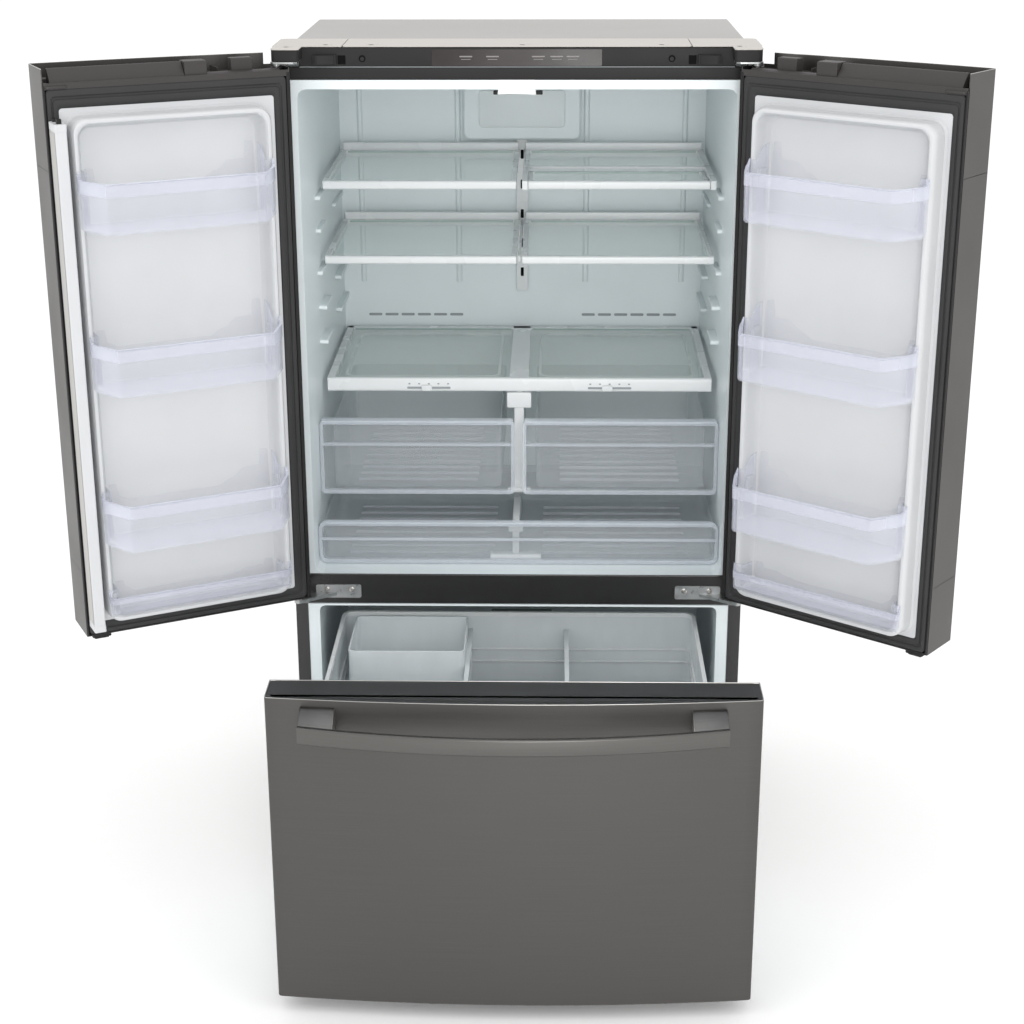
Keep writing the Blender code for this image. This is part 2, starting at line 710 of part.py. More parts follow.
def gasket_ring(name, carrier, outer, inner, back, front):
    """A magnetic gasket: a closed frame with a softened outer edge."""
    ease = 0.0015
    levels = ((outer, back), (outer, front - ease), (inset(outer, ease), front),
              (inset(inner, -ease), front), (inner, front - ease), (inner, back))
    rings = [at_y(outline, y) for outline, y in levels]
    return smooth(loft(name, carrier, "gasket_rubber", rings, wrap=True))


def make_door_gasket(carrier, side):
    """Gasket round the back of a door."""
    outer = flip(rounded(0.006, 0.445, 0.7025, 1.728, 0.006, 2), side)
    inner = flip(rounded(0.027, 0.420, 0.727, 1.694, 0.006, 2), side)
    return gasket_ring("%s_door_gasket" % side_name(side), carrier, outer, inner, DOOR_BACK + GAP, -0.0008)


def make_door_handle(carrier, side):
    """Bowed vertical bar on two standoffs beside the door's free edge."""
    word = side_name(side)
    low, high = 0.800, 1.620
    middle = 0.060
    steps = 8
    rings = []
    for i in range(steps + 1):
        share = i / steps
        lift = 0.017 * (1 - (2 * share - 1) ** 2)
        outline = rounded(middle - 0.012, middle + 0.012, -0.158 - lift, -0.146 - lift, 0.004, 2)
        rings.append(at_z(flip(outline, side), low + (high - low) * share))
    handle = loft("%s_door_handle" % word, carrier, "brushed_steel", rings)
    for place, z in (("bottom", low + 0.025), ("top", high - 0.025)):
        outline = flip(rounded(middle - 0.010, middle + 0.010, z - 0.018, z + 0.018, 0.006, 2), side)
        face = bow(middle, BOW_MIDDLE, BOW_RISE) - 0.0006
        post = loft("handle_post_%s_%s" % (place, word), carrier, "brushed_steel", [at_y(outline, -0.152), at_y(outline, face)])
        join(handle, post)
    return smooth(handle)


def bin_outline(front, reach):
    """Footprint of a door bin: narrow inside the dam, wider in front of it, corners cut back."""
    step = DAM_RISE + 0.001
    tail = [(0.0530, BIN_BACK), (0.3855, BIN_BACK), (0.3855, step)]
    nose = [(0.400, step), (0.400, front - 2.2 * reach), (0.400 - 1.2 * reach, front)]
    nose += [(0.038 + reach, front), (0.038, front - 2.2 * reach), (0.038, step)]
    return tail + nose + [(0.0530, step)]


def make_bin(carrier, side, number, bottom, front, reach, height):
    """Clear door bin, open at the top."""
    outer = flip(bin_outline(front, reach), side)
    inner = inset(outer, WALL)
    rings = [at_z(outer, bottom), at_z(outer, bottom + height)]
    rings += [at_z(inner, bottom + height), at_z(inner, bottom + WALL)]
    return loft("%s_bin_%d" % (side_name(side), number), carrier, "clear_plastic", rings)


def make_door(carrier, side):
    """Everything that swings with one door."""
    make_door_panel(carrier, side)
    make_door_liner(carrier, side)
    make_door_gasket(carrier, side)
    make_door_handle(carrier, side)
    for number, bottom in enumerate(BIN_BOTTOMS, 1):
        make_bin(carrier, side, number, bottom, BIN_FRONT, BIN_CORNER_CUT, BIN_HEIGHT)
    number = len(BIN_BOTTOMS) + 1
    make_bin(carrier, side, number, LOW_BIN_BOTTOM, LOW_BIN_FRONT, LOW_BIN_CORNER_CUT, LOW_BIN_HEIGHT)


def make_flip_mullion(carrier):
    """Hinged bar on the left door that closes the gap between the doors."""
    far = MULLION_X + MULLION_REACH
    outline = arc(MULLION_X, MULLION_Y, MULLION_HALF, 90, 270, 6)
    outline += [(far, MULLION_Y - MULLION_HALF), (far, MULLION_Y + MULLION_HALF)]
    rings = [at_z(outline, MULLION_BOTTOM), at_z(outline, MULLION_TOP)]
    return smooth(loft("flip_mullion", carrier, "door_liner_white", rings))


# Freezer drawer --------------------------------------------------------------


def drawer_outline():
    """Footprint of the drawer's front slab."""
    return bowed_outline(-CASE_HALF, CASE_HALF, DRAWER_BACK, DRAWER_BOW_MIDDLE, DRAWER_BOW_RISE, DOOR_EDGE_R)


def make_drawer_panel(drawer):
    """Steel skin of the freezer drawer's front, open at the back."""
    outer = drawer_outline()
    ease = inset(outer, 0.001)
    rings = [at_z(ease, DRAWER_BOTTOM), at_z(outer, DRAWER_BOTTOM + 0.001)]
    rings += [at_z(outer, DRAWER_TOP - 0.001), at_z(ease, DRAWER_TOP)]
    panel = loft("freezer_drawer_panel", drawer, "brushed_steel", rings)
    hollow = open_backed(outer, SHEET, DRAWER_BACK, 0.02)
    rings = [at_z(hollow, DRAWER_BOTTOM + SHEET), at_z(hollow, DRAWER_TOP - SHEET)]
    cut(panel, loft("drawer_hollow", drawer, "brushed_steel", rings))
    return smooth(panel, 20)


def make_drawer_liner(drawer):
    """Inner wall of the drawer's front, bonded to the foam that fills the skin."""
    foam = open_backed(drawer_outline(), SHEET + GAP, DRAWER_BACK, DRAWER_BACK)
    rings = [at_z(foam, DRAWER_BOTTOM + SHEET + GAP), at_z(foam, DRAWER_TOP - SHEET - GAP)]
    return smooth(loft("freezer_drawer_liner", drawer, "door_liner_white", rings), 20)


def make_drawer_gasket(drawer):
    """Gasket round the back of the drawer's front."""
    outer = rounded(-0.4495, 0.4495, 0.055, 0.663, 0.006, 2)
    inner = rounded(-0.425, 0.425, 0.080, 0.640, 0.006, 2)
    return gasket_ring("freezer_drawer_gasket", drawer, outer, inner, DRAWER_BACK + GAP, -0.0008)


def make_drawer_handle(drawer):
    """Long bowed bar across the top of the drawer's front, on two wide standoffs."""
    half = 0.389
    low, high = 0.599, 0.632
    thick = 0.012
    steps = 10
    rings = []
    for i in range(steps + 1):
        x = half * (2 * i / steps - 1)
        front = -0.140 - 0.045 * (1 - (x / half) ** 2)
        outline = rounded(front, front + thick, low, high, 0.004, 2)
        rings.append(at_x(outline, x))
    handle = loft("freezer_drawer_handle", drawer, "brushed_steel", rings)
    for side in (-1, 1):
        inner, outer = 0.322, half - 0.002
        face = [(x, bow(x, DRAWER_BOW_MIDDLE, DRAWER_BOW_RISE) - 0.0006) for x in (outer, inner)]
        outline = flip(face + [(inner + 0.020, -0.150), (outer, -0.134)], side)
        rings = [at_z(outline, low + 0.002), at_z(outline, high + 0.003)]
        join(handle, loft("drawer_post_" + side_name(side), drawer, "brushed_steel", rings))
    return smooth(handle)


def make_drawer_frame(drawer):
    """Inner plate of the drawer with the two arms that ride on the slides."""
    outline = rounded(-0.383, 0.383, 0.110, 0.635, 0.010, 2)
    frame = loft("freezer_drawer_frame", drawer, "shelf_white", [at_y(outline, DRAWER_BACK + GAP), at_y(outline, 0.012)])
    for side in (-1, 1):
        arm = block("drawer_arm_" + side_name(side), drawer, "shelf_white",
                    (side * 0.371, side * 0.3825), (0.006, 0.450), (0.300, 0.330))
        join(frame, arm)
    return frame


def make_slide_middle(carrier, side):
    """Middle member of a telescopic slide."""
    outline = rounded(0.302, 0.328, 0.3840, 0.3930, 0.002, 1)
    rings = [[(side * x, y, z) for z, x in outline] for y in (0.012, 0.450)]
    return loft("slide_middle_" + side_name(side), carrier, "zinc_steel", rings)


def make_freezer_basket(drawer):
    """Deep basket of the drawer, with its two fixed dividers."""
    front, back, floor = 0.030, 0.485, 0.130
    outer = rounded(-BASKET_HALF, BASKET_HALF, front, back, 0.020, 2)
    inner = inset(outer, WALL)
    rings = [at_z(inset(outer, 0.010), floor), at_z(outer, floor + 0.012), at_z(outer, BASKET_TOP)]
    rings += [at_z(inner, BASKET_TOP), at_z(inner, floor + 0.012), at_z(inset(inner, 0.010), floor + WALL)]
    basket = loft("freezer_basket", drawer, "clear_plastic", rings)
    for side in (-1, 1):
        x = side * DIVIDER_X
        plate = block("basket_divider_" + side_name(side), drawer, "clear_plastic",
                      (x - 0.0015, x + 0.0015), (front + 0.0015, back - 0.0015), (floor + 0.0015, 0.560))
        join(basket, plate)
    return smooth(basket)


def make_freezer_tray(tray):
    """Small tray that slides along the top of the basket's left bay."""
    outer = rounded(-0.340, -0.104, 0.285, 0.470, 0.010, 2)
    inner = inset(outer, WALL)
    rings = [at_z(outer, 0.500), at_z(outer, 0.597), at_z(inner, 0.597), at_z(inner, 0.500 + WALL)]
    return smooth(loft("freezer_tray", tray, "clear_plastic", rings))


# Machine and feet ------------------------------------------------------------


def make_compressor(root):
    """Welded steel dome on its base plate."""
    x, y = -0.200, 0.650
    profile = ((0.056, 0.060), (0.075, 0.080), (0.150, 0.084), (0.190, 0.074), (0.214, 0.046), (0.222, 0.014))
    rings = [at_z(circle(x, y, radius), z) for z, radius in profile]
    dome = loft("compressor", root, "black_paint", rings)
    plate = block("compressor_plate", root, "black_paint", (x - 0.095, x + 0.095), (y - 0.070, y + 0.070), (0.0535, 0.0575))
    return smooth(join(dome, plate))


def make_base_grille(root):
    """Slotted grille between the front legs."""
    grille = block("base_grille", root, "dark_plastic", (-0.375, 0.375), (0.045, 0.053), (0.012, BASE_BOTTOM - 0.0005))
    for row in range(3):
        z = 0.018 + 0.010 * row
        slot = block("grille_slot_%d" % row, root, "dark_plastic", (-0.350, 0.350), (0.030, 0.070), (z, z + 0.004))
        cut(grille, slot)
    return grille


def make_leg(root, side):
    """Levelling leg: a broad foot on a threaded stem."""
    x = side * LEG_X
    profile = ((0.0, 0.016), (0.002, 0.018), (0.008, 0.018), (0.010, 0.006), (BASE_BOTTOM - GAP, 0.006))
    rings = [at_z(circle(x, LEG_Y, radius), z) for z, radius in profile]
    return smooth(loft("leg_" + side_name(side), root, "zinc_steel", rings))


def make_roller(carrier, side):
    """Rear roller with its bore."""
    x0 = side * ROLLER_X - ROLLER_HALF_WIDTH
    x1 = side * ROLLER_X + ROLLER_HALF_WIDTH
    sides = 24
    profile = ((x0, ROLLER_BORE_R), (x0, ROLLER_R - 0.002), (x0 + 0.002, ROLLER_R),
               (x1 - 0.002, ROLLER_R), (x1, ROLLER_R - 0.002), (x1, ROLLER_BORE_R))
    rings = [at_x(circle(ROLLER_Y, ROLLER_R, radius, sides), x) for x, radius in profile]
    return smooth(loft("roller_" + side_name(side), carrier, "roller_nylon", rings, wrap=True))


def make_cabinet(root):
    """Everything that stands still."""
    make_wrapper(root)
    make_fridge_liner(root)
    make_freezer_liner(root)
    make_rear_panel(root)
    make_compressor_cover(root)
    make_centre_rail(root)
    make_top_trim(root)
    make_top_covers(root)
    for side in (-1, 1):
        make_top_hinge(root, side)
        make_middle_hinge(root, side)
        make_leg(root, side)
    make_air_duct_cover(root)
    make_tray_shelf("shelf_upper_left", root, -1, UPPER_SHELF)
    make_tray_shelf("shelf_lower_left", root, -1, LOWER_SHELF)
    make_tray_shelf("shelf_lower_right", root, 1, LOWER_SHELF)
    make_crisper_cover(root)
    make_compressor(root)
    make_base_grille(root)


def make_freezer_drawer(root):
    """The drawer pulled out to its place, with the slides and the tray that move with it."""
    out = (0.0, -DRAWER_TRAVEL, 0.0)
    half_out = (0.0, -DRAWER_TRAVEL / 2, 0.0)
    drawer = body("freezer_drawer", parent=root, slide=out)
    make_drawer_panel(drawer)
    make_drawer_liner(drawer)
    make_drawer_gasket(drawer)
    make_drawer_handle(drawer)
    make_drawer_frame(drawer)
    make_freezer_basket(drawer)
    make_freezer_tray(body("freezer_tray", parent=drawer))
    for side in (-1, 1):
        make_slide_middle(body("slide_middle_" + side_name(side), parent=root, slide=half_out), side)


def make_small_movers(root):
    """Crispers, deli drawer, sliders, switches, rollers and the slide-under shelf."""
    make_sliding_shelf(root, body("shelf_slide_under", parent=root))
    make_deli_drawer(body("deli_drawer", parent=root))
    knob_places = {-1: -0.191, 1: 0.182}
    for side in (-1, 1):
        word = side_name(side)
        make_crisper(body("crisper_" + word, parent=root), side)
        make_humidity_knob(body("humidity_knob_" + word, parent=root), side, knob_places[side])
        pivot = (side * 0.338, -0.004, 0.0)
        make_door_switch(body("door_switch_" + word, pivot, root, -12.0 * side), side)
        make_roller(body("roller_" + word, (side * ROLLER_X, ROLLER_Y, ROLLER_R), root), side)


def make_doors(root):
    """Both doors at their open angles, and the mullion folded on the left one."""
    left = body("left_door", (-HINGE_X, HINGE_Y, 0.0), root, -LEFT_OPEN_DEG)
    right = body("right_door", (HINGE_X, HINGE_Y, 0.0), root, RIGHT_OPEN_DEG)
    make_door(left, -1)
    make_door(right, 1)
    make_flip_mullion(body("flip_mullion", (MULLION_X, MULLION_Y, 0.0), left, 90.0))


def centre_over_floor(root):
    """Move the whole object so that the middle of its box stands over the origin."""
    bpy.context.view_layer.update()
    nodes = [o for o in bpy.data.objects if o.type == "MESH" and not o.hide_render]
    corners = [o.matrix_world @ v.co for o in nodes for v in o.data.vertices]
    for axis in (0, 1):
        values = [corner[axis] for corner in corners]
        root.location[axis] = -0.5 * (min(values) + max(values))


def main():
    clear_scene()
    root = body("refrigerator")
    make_cabinet(root)
    make_small_movers(root)
    make_doors(root)
    make_freezer_drawer(root)
    centre_over_floor(root)


main()
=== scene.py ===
"""French door refrigerator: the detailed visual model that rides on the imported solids.

Every piece is drawn where it sits with the doors and the drawer shut: X to the right, Y to the
back with zero at the cabinet's front face, and Z up from the floor, in metres. Rig.place then
carries it to where its body stands at rest.
"""

import json
import logging
import math
from collections.abc import Iterable, Sequence
from dataclasses import dataclass, field
from enum import Enum

import bmesh
import bpy
from mathutils import Matrix, Vector

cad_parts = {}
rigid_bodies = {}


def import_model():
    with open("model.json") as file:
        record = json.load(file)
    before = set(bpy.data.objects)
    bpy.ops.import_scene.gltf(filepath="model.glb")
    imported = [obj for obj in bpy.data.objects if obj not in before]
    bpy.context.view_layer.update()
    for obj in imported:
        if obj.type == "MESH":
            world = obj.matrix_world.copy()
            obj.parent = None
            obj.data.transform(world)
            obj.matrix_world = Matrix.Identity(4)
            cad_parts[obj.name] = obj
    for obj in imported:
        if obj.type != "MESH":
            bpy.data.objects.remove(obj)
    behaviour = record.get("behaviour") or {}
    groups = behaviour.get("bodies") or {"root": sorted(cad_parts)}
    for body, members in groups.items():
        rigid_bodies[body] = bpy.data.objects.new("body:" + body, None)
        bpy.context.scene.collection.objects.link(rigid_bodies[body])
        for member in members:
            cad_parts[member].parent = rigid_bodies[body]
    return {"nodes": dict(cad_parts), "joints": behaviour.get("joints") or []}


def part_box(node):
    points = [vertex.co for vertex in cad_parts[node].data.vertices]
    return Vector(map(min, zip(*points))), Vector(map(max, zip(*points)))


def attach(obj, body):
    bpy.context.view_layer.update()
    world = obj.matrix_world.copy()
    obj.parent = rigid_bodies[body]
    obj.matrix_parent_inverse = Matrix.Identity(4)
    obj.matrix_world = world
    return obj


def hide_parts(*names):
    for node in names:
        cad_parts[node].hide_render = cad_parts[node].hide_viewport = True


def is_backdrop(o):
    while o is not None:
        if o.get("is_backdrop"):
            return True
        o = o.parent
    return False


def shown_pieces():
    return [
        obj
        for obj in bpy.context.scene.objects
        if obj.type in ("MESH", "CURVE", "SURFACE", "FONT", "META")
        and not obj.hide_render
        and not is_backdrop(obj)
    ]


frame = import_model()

Point2 = tuple[float, float]
Point3 = tuple[float, float, float]
Outline = list[Point2]
Ring = list[Point3]
Span = tuple[float, float]

# Points at the end of a door outline that belong to its rounded hinge side.
HINGE_SIDE_POINTS = 5
MERGE = 1e-6
SMOOTH_DEG = 32.0
BEVEL_DEG = 40.0
DRAWN_AT_REST = ("humidity_knob_left", "humidity_knob_right")

log = logging.getLogger("refrigerator")


class Side(Enum):
    """The two sides of the refrigerator, as the sign of X."""

    LEFT = -1
    RIGHT = 1

    @property
    def word(self) -> str:
        """The name of the side in node names."""
        return self.name.lower()


class Grain(Enum):
    """Direction in which metal is brushed, as noise scales along X, Y and Z."""

    LEVEL = (5.0, 5.0, 1500.0)
    UPRIGHT = (1500.0, 1500.0, 5.0)


# Outlines --------------------------------------------------------------------------------------


def rect(u: Span, v: Span) -> Outline:
    """Return the outline of a plain rectangle."""
    return [(u[0], v[0]), (u[1], v[0]), (u[1], v[1]), (u[0], v[1])]


def arc(centre: Point2, radius: float, start: float, end: float, steps: int) -> Outline:
    """Points along an arc, ends included.

    Args:
        centre: Middle of the circle.
        radius: Its radius.
        start: First angle in degrees.
        end: Last angle in degrees.
        steps: Number of straight steps.

    Returns:
        The points in order.
    """
    turns = [math.radians(start + (end - start) * i / steps) for i in range(steps + 1)]
    return [(centre[0] + radius * math.cos(t), centre[1] + radius * math.sin(t)) for t in turns]


def rounded(u: Span, v: Span, radius: float, steps: int = 5) -> Outline:
    """Rectangle with round corners, anticlockwise from the lower left.

    Args:
        u: Low and high first coordinate.
        v: Low and high second coordinate.
        radius: Corner radius.
        steps: Straight steps in each corner.

    Returns:
        The outline.
    """
    middles = (
        (u[0] + radius, v[0] + radius, 180.0),
        (u[1] - radius, v[0] + radius, 270.0),
        (u[1] - radius, v[1] - radius, 0.0),
        (u[0] + radius, v[1] - radius, 90.0),
    )
    points: Outline = []
    for cu, cv, start in middles:
        points += arc((cu, cv), radius, start, start + 90.0, steps)
    return points


def circle(centre: Point2, radius: float, sides: int = 24) -> Outline:
    """Return the outline of a circle."""
    return arc(centre, radius, 0.0, 360.0 * (sides - 1) / sides, sides - 1)


def inset(outline: Outline, distance: float) -> Outline:
    """Move every side of an outline inwards, keeping its corners.

    Args:
        outline: The outline, either way round.
        distance: How far to move; negative moves outwards.

    Returns:
        The moved outline, with as many points.
    """
    turned = sum(a[0] * b[1] - b[0] * a[1] for a, b in zip(outline, outline[1:] + outline[:1]))
    way = 1.0 if turned > 0 else -1.0
    moved: Outline = []
    for i, point in enumerate(outline):
        before = (Vector(point) - Vector(outline[i - 1])).normalized()
        after = (Vector(outline[(i + 1) % len(outline)]) - Vector(point)).normalized()
        n1 = Vector((-before.y, before.x)) * way
        n2 = Vector((-after.y, after.x)) * way
        mitre = (n1 + n2) / max(0.2, 1.0 + n1.dot(n2))
        moved.append((point[0] + distance * mitre.x, point[1] + distance * mitre.y))
    return moved


def between(first: Outline, second: Outline, share: float) -> Outline:
    """Return the outline that lies this share of the way from the first to the second."""
    pairs = zip(first, second)
    return [(a[0] + share * (b[0] - a[0]), a[1] + share * (b[1] - a[1])) for a, b in pairs]


def folded(outer: Outline, inner: Outline, back: float) -> Outline:
    """Footprint of a sheet folded round a front slab and open at its back.

    Args:
        outer: Outside of the slab, whose first two points are its back corners.
        inner: The same outline one sheet further in.
        back: Y of the slab's back.

    Returns:
        The outline, out along the outside and back along the inside.
    """
    return outer[1:] + [outer[0], (inner[0][0], back)] + inner[:1:-1] + [(inner[1][0], back)]


def at_x(outline: Outline, x: float) -> Ring:
    """Return the ring of (y, z) points at this x."""
    return [(x, y, z) for y, z in outline]


def at_y(outline: Outline, y: float) -> Ring:
    """Return the ring of (x, z) points at this y."""
    return [(x, y, z) for x, z in outline]


def at_z(outline: Outline, z: float) -> Ring:
    """Return the ring of (x, y) points at this z."""
    return [(x, y, z) for x, y in outline]


# Finishes --------------------------------------------------------------------------------------


class Graph:
    """One node material under construction, measured in the piece's own coordinates."""

    def __init__(self, name: str) -> None:
        """Start a material with a Principled shader."""
        self.material = bpy.data.materials.new(name)
        self.material.use_nodes = True
        self.tree = self.material.node_tree
        self.shader = self.tree.nodes["Principled BSDF"]
        self.place = self.tree.nodes.new("ShaderNodeTexCoord").outputs["Object"]

    def put(self, **values: object) -> None:
        """Set constant sockets of the shader; an underscore in a key stands for a space."""
        for key, value in values.items():
            self.shader.inputs[key.replace("_", " ")].default_value = value

    def link(self, source: bpy.types.NodeSocket, socket: str) -> None:
        """Drive one socket of the shader."""
        self.tree.links.new(source, self.shader.inputs[socket])

    def noise(self, scale: Point3, detail: float = 3.0) -> bpy.types.NodeSocket:
        """Noise over the piece.

        Args:
            scale: Cycles per metre along X, Y and Z.
            detail: Octaves of finer noise.

        Returns:
            The noise value socket.
        """
        mapping = self.tree.nodes.new("ShaderNodeMapping")
        mapping.inputs["Scale"].default_value = scale
        texture = self.tree.nodes.new("ShaderNodeTexNoise")
        texture.inputs["Scale"].default_value = 1.0
        texture.inputs["Detail"].default_value = detail
        self.tree.links.new(self.place, mapping.inputs["Vector"])
        self.tree.links.new(mapping.outputs["Vector"], texture.inputs["Vector"])
        return texture.outputs[0]

    def spread(self, source: bpy.types.NodeSocket, low: float, high: float) -> bpy.types.NodeSocket:
        """Map noise to a range.

        Args:
            source: Noise value, mostly between 0.3 and 0.7.
            low: Value at the dark end.
            high: Value at the light end.

        Returns:
            The mapped value socket.
        """
        node = self.tree.nodes.new("ShaderNodeMapRange")
        node.inputs["From Min"].default_value = 0.3
        node.inputs["From Max"].default_value = 0.7
        node.inputs["To Min"].default_value = low
        node.inputs["To Max"].default_value = high
        self.tree.links.new(source, node.inputs["Value"])
        return node.outputs["Result"]

    def tint(self, source: bpy.types.NodeSocket, colour: Point3, change: float) -> None:
        """Vary the base colour by this share either way, following the source."""
        node = self.tree.nodes.new("ShaderNodeMix")
        node.data_type = "RGBA"
        node.inputs[6].default_value = (*(c * (1 - change) for c in colour), 1.0)
        node.inputs[7].default_value = (*(min(1.0, c * (1 + change)) for c in colour), 1.0)
        self.tree.links.new(self.spread(source, 0.0, 1.0), node.inputs[0])
        self.link(node.outputs[2], "Base Color")

    def bump(self, source: bpy.types.NodeSocket, strength: float, depth: float) -> None:
        """Raise and lower the surface by up to this depth, following the source."""
        node = self.tree.nodes.new("ShaderNodeBump")
        node.inputs["Strength"].default_value = strength
        node.inputs["Distance"].default_value = depth
        self.tree.links.new(source, node.inputs["Height"])
        self.link(node.outputs["Normal"], "Normal")


@dataclass(frozen=True)
class Finish:
    """A surface finish: moulded plastic unless a subclass dresses it otherwise.

    Attributes:
        name: Name of the material.
        colour: Linear base colour.
        roughness: Middle roughness.
        specular: Specular level.
        change: Share by which the colour varies.
        texture: Cycles per metre of the moulded texture.
        depth: Depth of that texture in metres.
    """

    name: str
    colour: Point3
    roughness: float = 0.4
    specular: float = 0.5
    change: float = 0.02
    texture: float = 700.0
    depth: float = 0.00004

    def material(self) -> bpy.types.Material:
        """Return the material, made the first time it is asked for."""
        return bpy.data.materials.get(self.name) or self.build()

    def build(self) -> bpy.types.Material:
        """Make the material.

        Returns:
            The new material, dressed for this finish.
        """
        graph = Graph(self.name)
        graph.put(Specular_IOR_Level=self.specular)
        self.dress(graph)
        return graph.material

    def dress(self, graph: Graph) -> None:
        """Fine moulded texture, faint mottling and handling wear in the gloss."""
        broad = graph.noise((7.0, 7.0, 7.0))
        graph.tint(broad, self.colour, self.change)
        graph.link(graph.spread(broad, self.roughness - 0.05, self.roughness + 0.06), "Roughness")
        graph.bump(graph.noise((self.texture,) * 3, 2.0), 0.25, self.depth)


@dataclass(frozen=True)
class Enamel(Finish):
    """Baked paint on sheet metal, with its orange peel."""

    coat: float = 0.2

    def dress(self, graph: Graph) -> None:
        """Orange peel, slow colour drift and a thin clear coat."""
        peel = graph.noise((260.0, 260.0, 260.0), 1.0)
        drift = graph.noise((3.0, 3.0, 3.0))
        graph.tint(drift, self.colour, self.change)
        graph.link(graph.spread(drift, self.roughness - 0.04, self.roughness + 0.07), "Roughness")
        graph.put(Coat_Weight=self.coat, Coat_Roughness=0.25)
        graph.bump(peel, 0.2, 0.00005)


@dataclass(frozen=True)
class Brushed(Finish):
    """Brushed or plated metal whose highlight stretches across the grain."""

    grain: Grain = Grain.LEVEL
    stretch: float = 0.4

    def dress(self, graph: Graph) -> None:
        """Fine streaks in height, colour and roughness, with smudges over them."""
        streaks = graph.noise(self.grain.value, 4.0)
        smudge = graph.noise((5.0, 5.0, 5.0), 2.0)
        graph.tint(streaks, self.colour, self.change)
        graph.link(graph.spread(smudge, self.roughness - 0.03, self.roughness + 0.05), "Roughness")
        graph.put(Metallic=1.0, Anisotropic=self.stretch)
        graph.put(Anisotropic_Rotation=0.25 if self.grain is Grain.LEVEL else 0.0)
        facing = graph.tree.nodes.new("ShaderNodeNewGeometry")
        level = graph.tree.nodes.new("ShaderNodeVectorMath")
        level.operation = "CROSS_PRODUCT"
        level.inputs[1].default_value = (0.02, 0.01, 1.0)
        graph.tree.links.new(facing.outputs["Normal"], level.inputs[0])
        graph.link(level.outputs["Vector"], "Tangent")
        graph.bump(streaks, 0.08, 0.00002)


@dataclass(frozen=True)
class Zinc(Finish):
    """Zinc plating with its crystal mottle."""

    def dress(self, graph: Graph) -> None:
        """Cloudy crystals over dull bright metal."""
        crystals = graph.noise((90.0, 90.0, 90.0), 4.0)
        graph.tint(crystals, self.colour, self.change)
        graph.link(graph.spread(crystals, self.roughness - 0.08, self.roughness + 0.08), "Roughness")
        graph.put(Metallic=0.9)
        graph.bump(crystals, 0.1, 0.00003)


@dataclass(frozen=True)
class Clear(Finish):
    """Clear moulded plastic or glass: see-through face on, more solid edge on.

    Attributes:
        facing: Alpha where it is seen square on.
        grazing: Alpha where it is seen edge on.
    """

    facing: float = 0.22
    grazing: float = 0.75

    def dress(self, graph: Graph) -> None:
        """Alpha that grows towards the edges, with faint flow marks."""
        flow = graph.noise((30.0, 30.0, 12.0), 2.0)
        graph.tint(flow, self.colour, self.change)
        graph.link(graph.spread(flow, self.roughness - 0.02, self.roughness + 0.03), "Roughness")
        weight = graph.tree.nodes.new("ShaderNodeLayerWeight")
        weight.inputs["Blend"].default_value = 0.35
        reach = graph.tree.nodes.new("ShaderNodeMapRange")
        reach.inputs["To Min"].default_value = self.facing
        reach.inputs["To Max"].default_value = self.grazing
        graph.tree.links.new(weight.outputs["Facing"], reach.inputs["Value"])
        graph.link(reach.outputs["Result"], "Alpha")
        graph.bump(flow, 0.1, 0.0002)


STEEL = Brushed("door_brushed_steel", (0.105, 0.101, 0.097), 0.40, change=0.05, stretch=0.40)
# Bright steel for screws, pins and the mullion strip; also a painted highlight along the top edges of the
# door and drawer skins and on the handle brackets.
BRIGHT_STEEL_AND_HIGHLIGHT = Brushed("steel_cut_edge", (0.46, 0.45, 0.43), 0.30, change=0.06)
HANDLE_STEEL = Brushed("handle_brushed_steel", (0.130, 0.126, 0.120), 0.32, change=0.06)
BRACKET_STEEL = Brushed("bracket_brushed_steel", (0.165, 0.163, 0.160), 0.36, change=0.06)
HANDLE_UPRIGHT = Brushed(
    "handle_upright_steel", (0.130, 0.126, 0.120), 0.32, change=0.06, grain=Grain.UPRIGHT
)
CASE_PAINT = Enamel("case_enamel", (0.315, 0.303, 0.290), 0.44, change=0.03)
BLACK_PAINT = Enamel("black_enamel", (0.010, 0.009, 0.009), 0.30, coat=0.4)
COVER_PLASTIC = Finish("cover_plastic_grey", (0.50, 0.475, 0.445), 0.48, change=0.03)
DARK_PLASTIC = Finish("dark_plastic_moulded", (0.017, 0.016, 0.016), 0.48, specular=0.22, change=0.08)
CAP_PLASTIC = Finish("door_cap_plastic", (0.036, 0.032, 0.031), 0.48, specular=0.40, change=0.08)
DRAWER_CAP = Finish("drawer_cap_plastic", (0.030, 0.030, 0.030), 0.42, specular=0.40, change=0.05)
PANEL_GLOSS = Finish(
    "control_panel_gloss", (0.020, 0.014, 0.013), 0.20, specular=0.32, change=0.05, depth=0.000005
)
PANEL_MARK = Finish("control_mark_grey", (0.22, 0.21, 0.205), 0.5)
# Near black painted shade for holes, slots and recesses that are drawn flat.
RECESS_SHADE = Finish("deep_recess_black", (0.004, 0.004, 0.004), 0.8, specular=0.1)
LINER_WHITE = Finish("liner_vacuum_formed", (0.775, 0.835, 0.850), 0.34, texture=420.0)
DOOR_WHITE = Finish("door_liner_vacuum_formed", (0.57, 0.580, 0.592), 0.34, texture=420.0)
SHELF_WHITE = Finish("shelf_trim_moulded", (0.74, 0.76, 0.765), 0.26, texture=300.0, depth=0.00002)
LENS_WHITE = Finish("lamp_lens_frosted", (0.83, 0.87, 0.87), 0.5, texture=300.0)
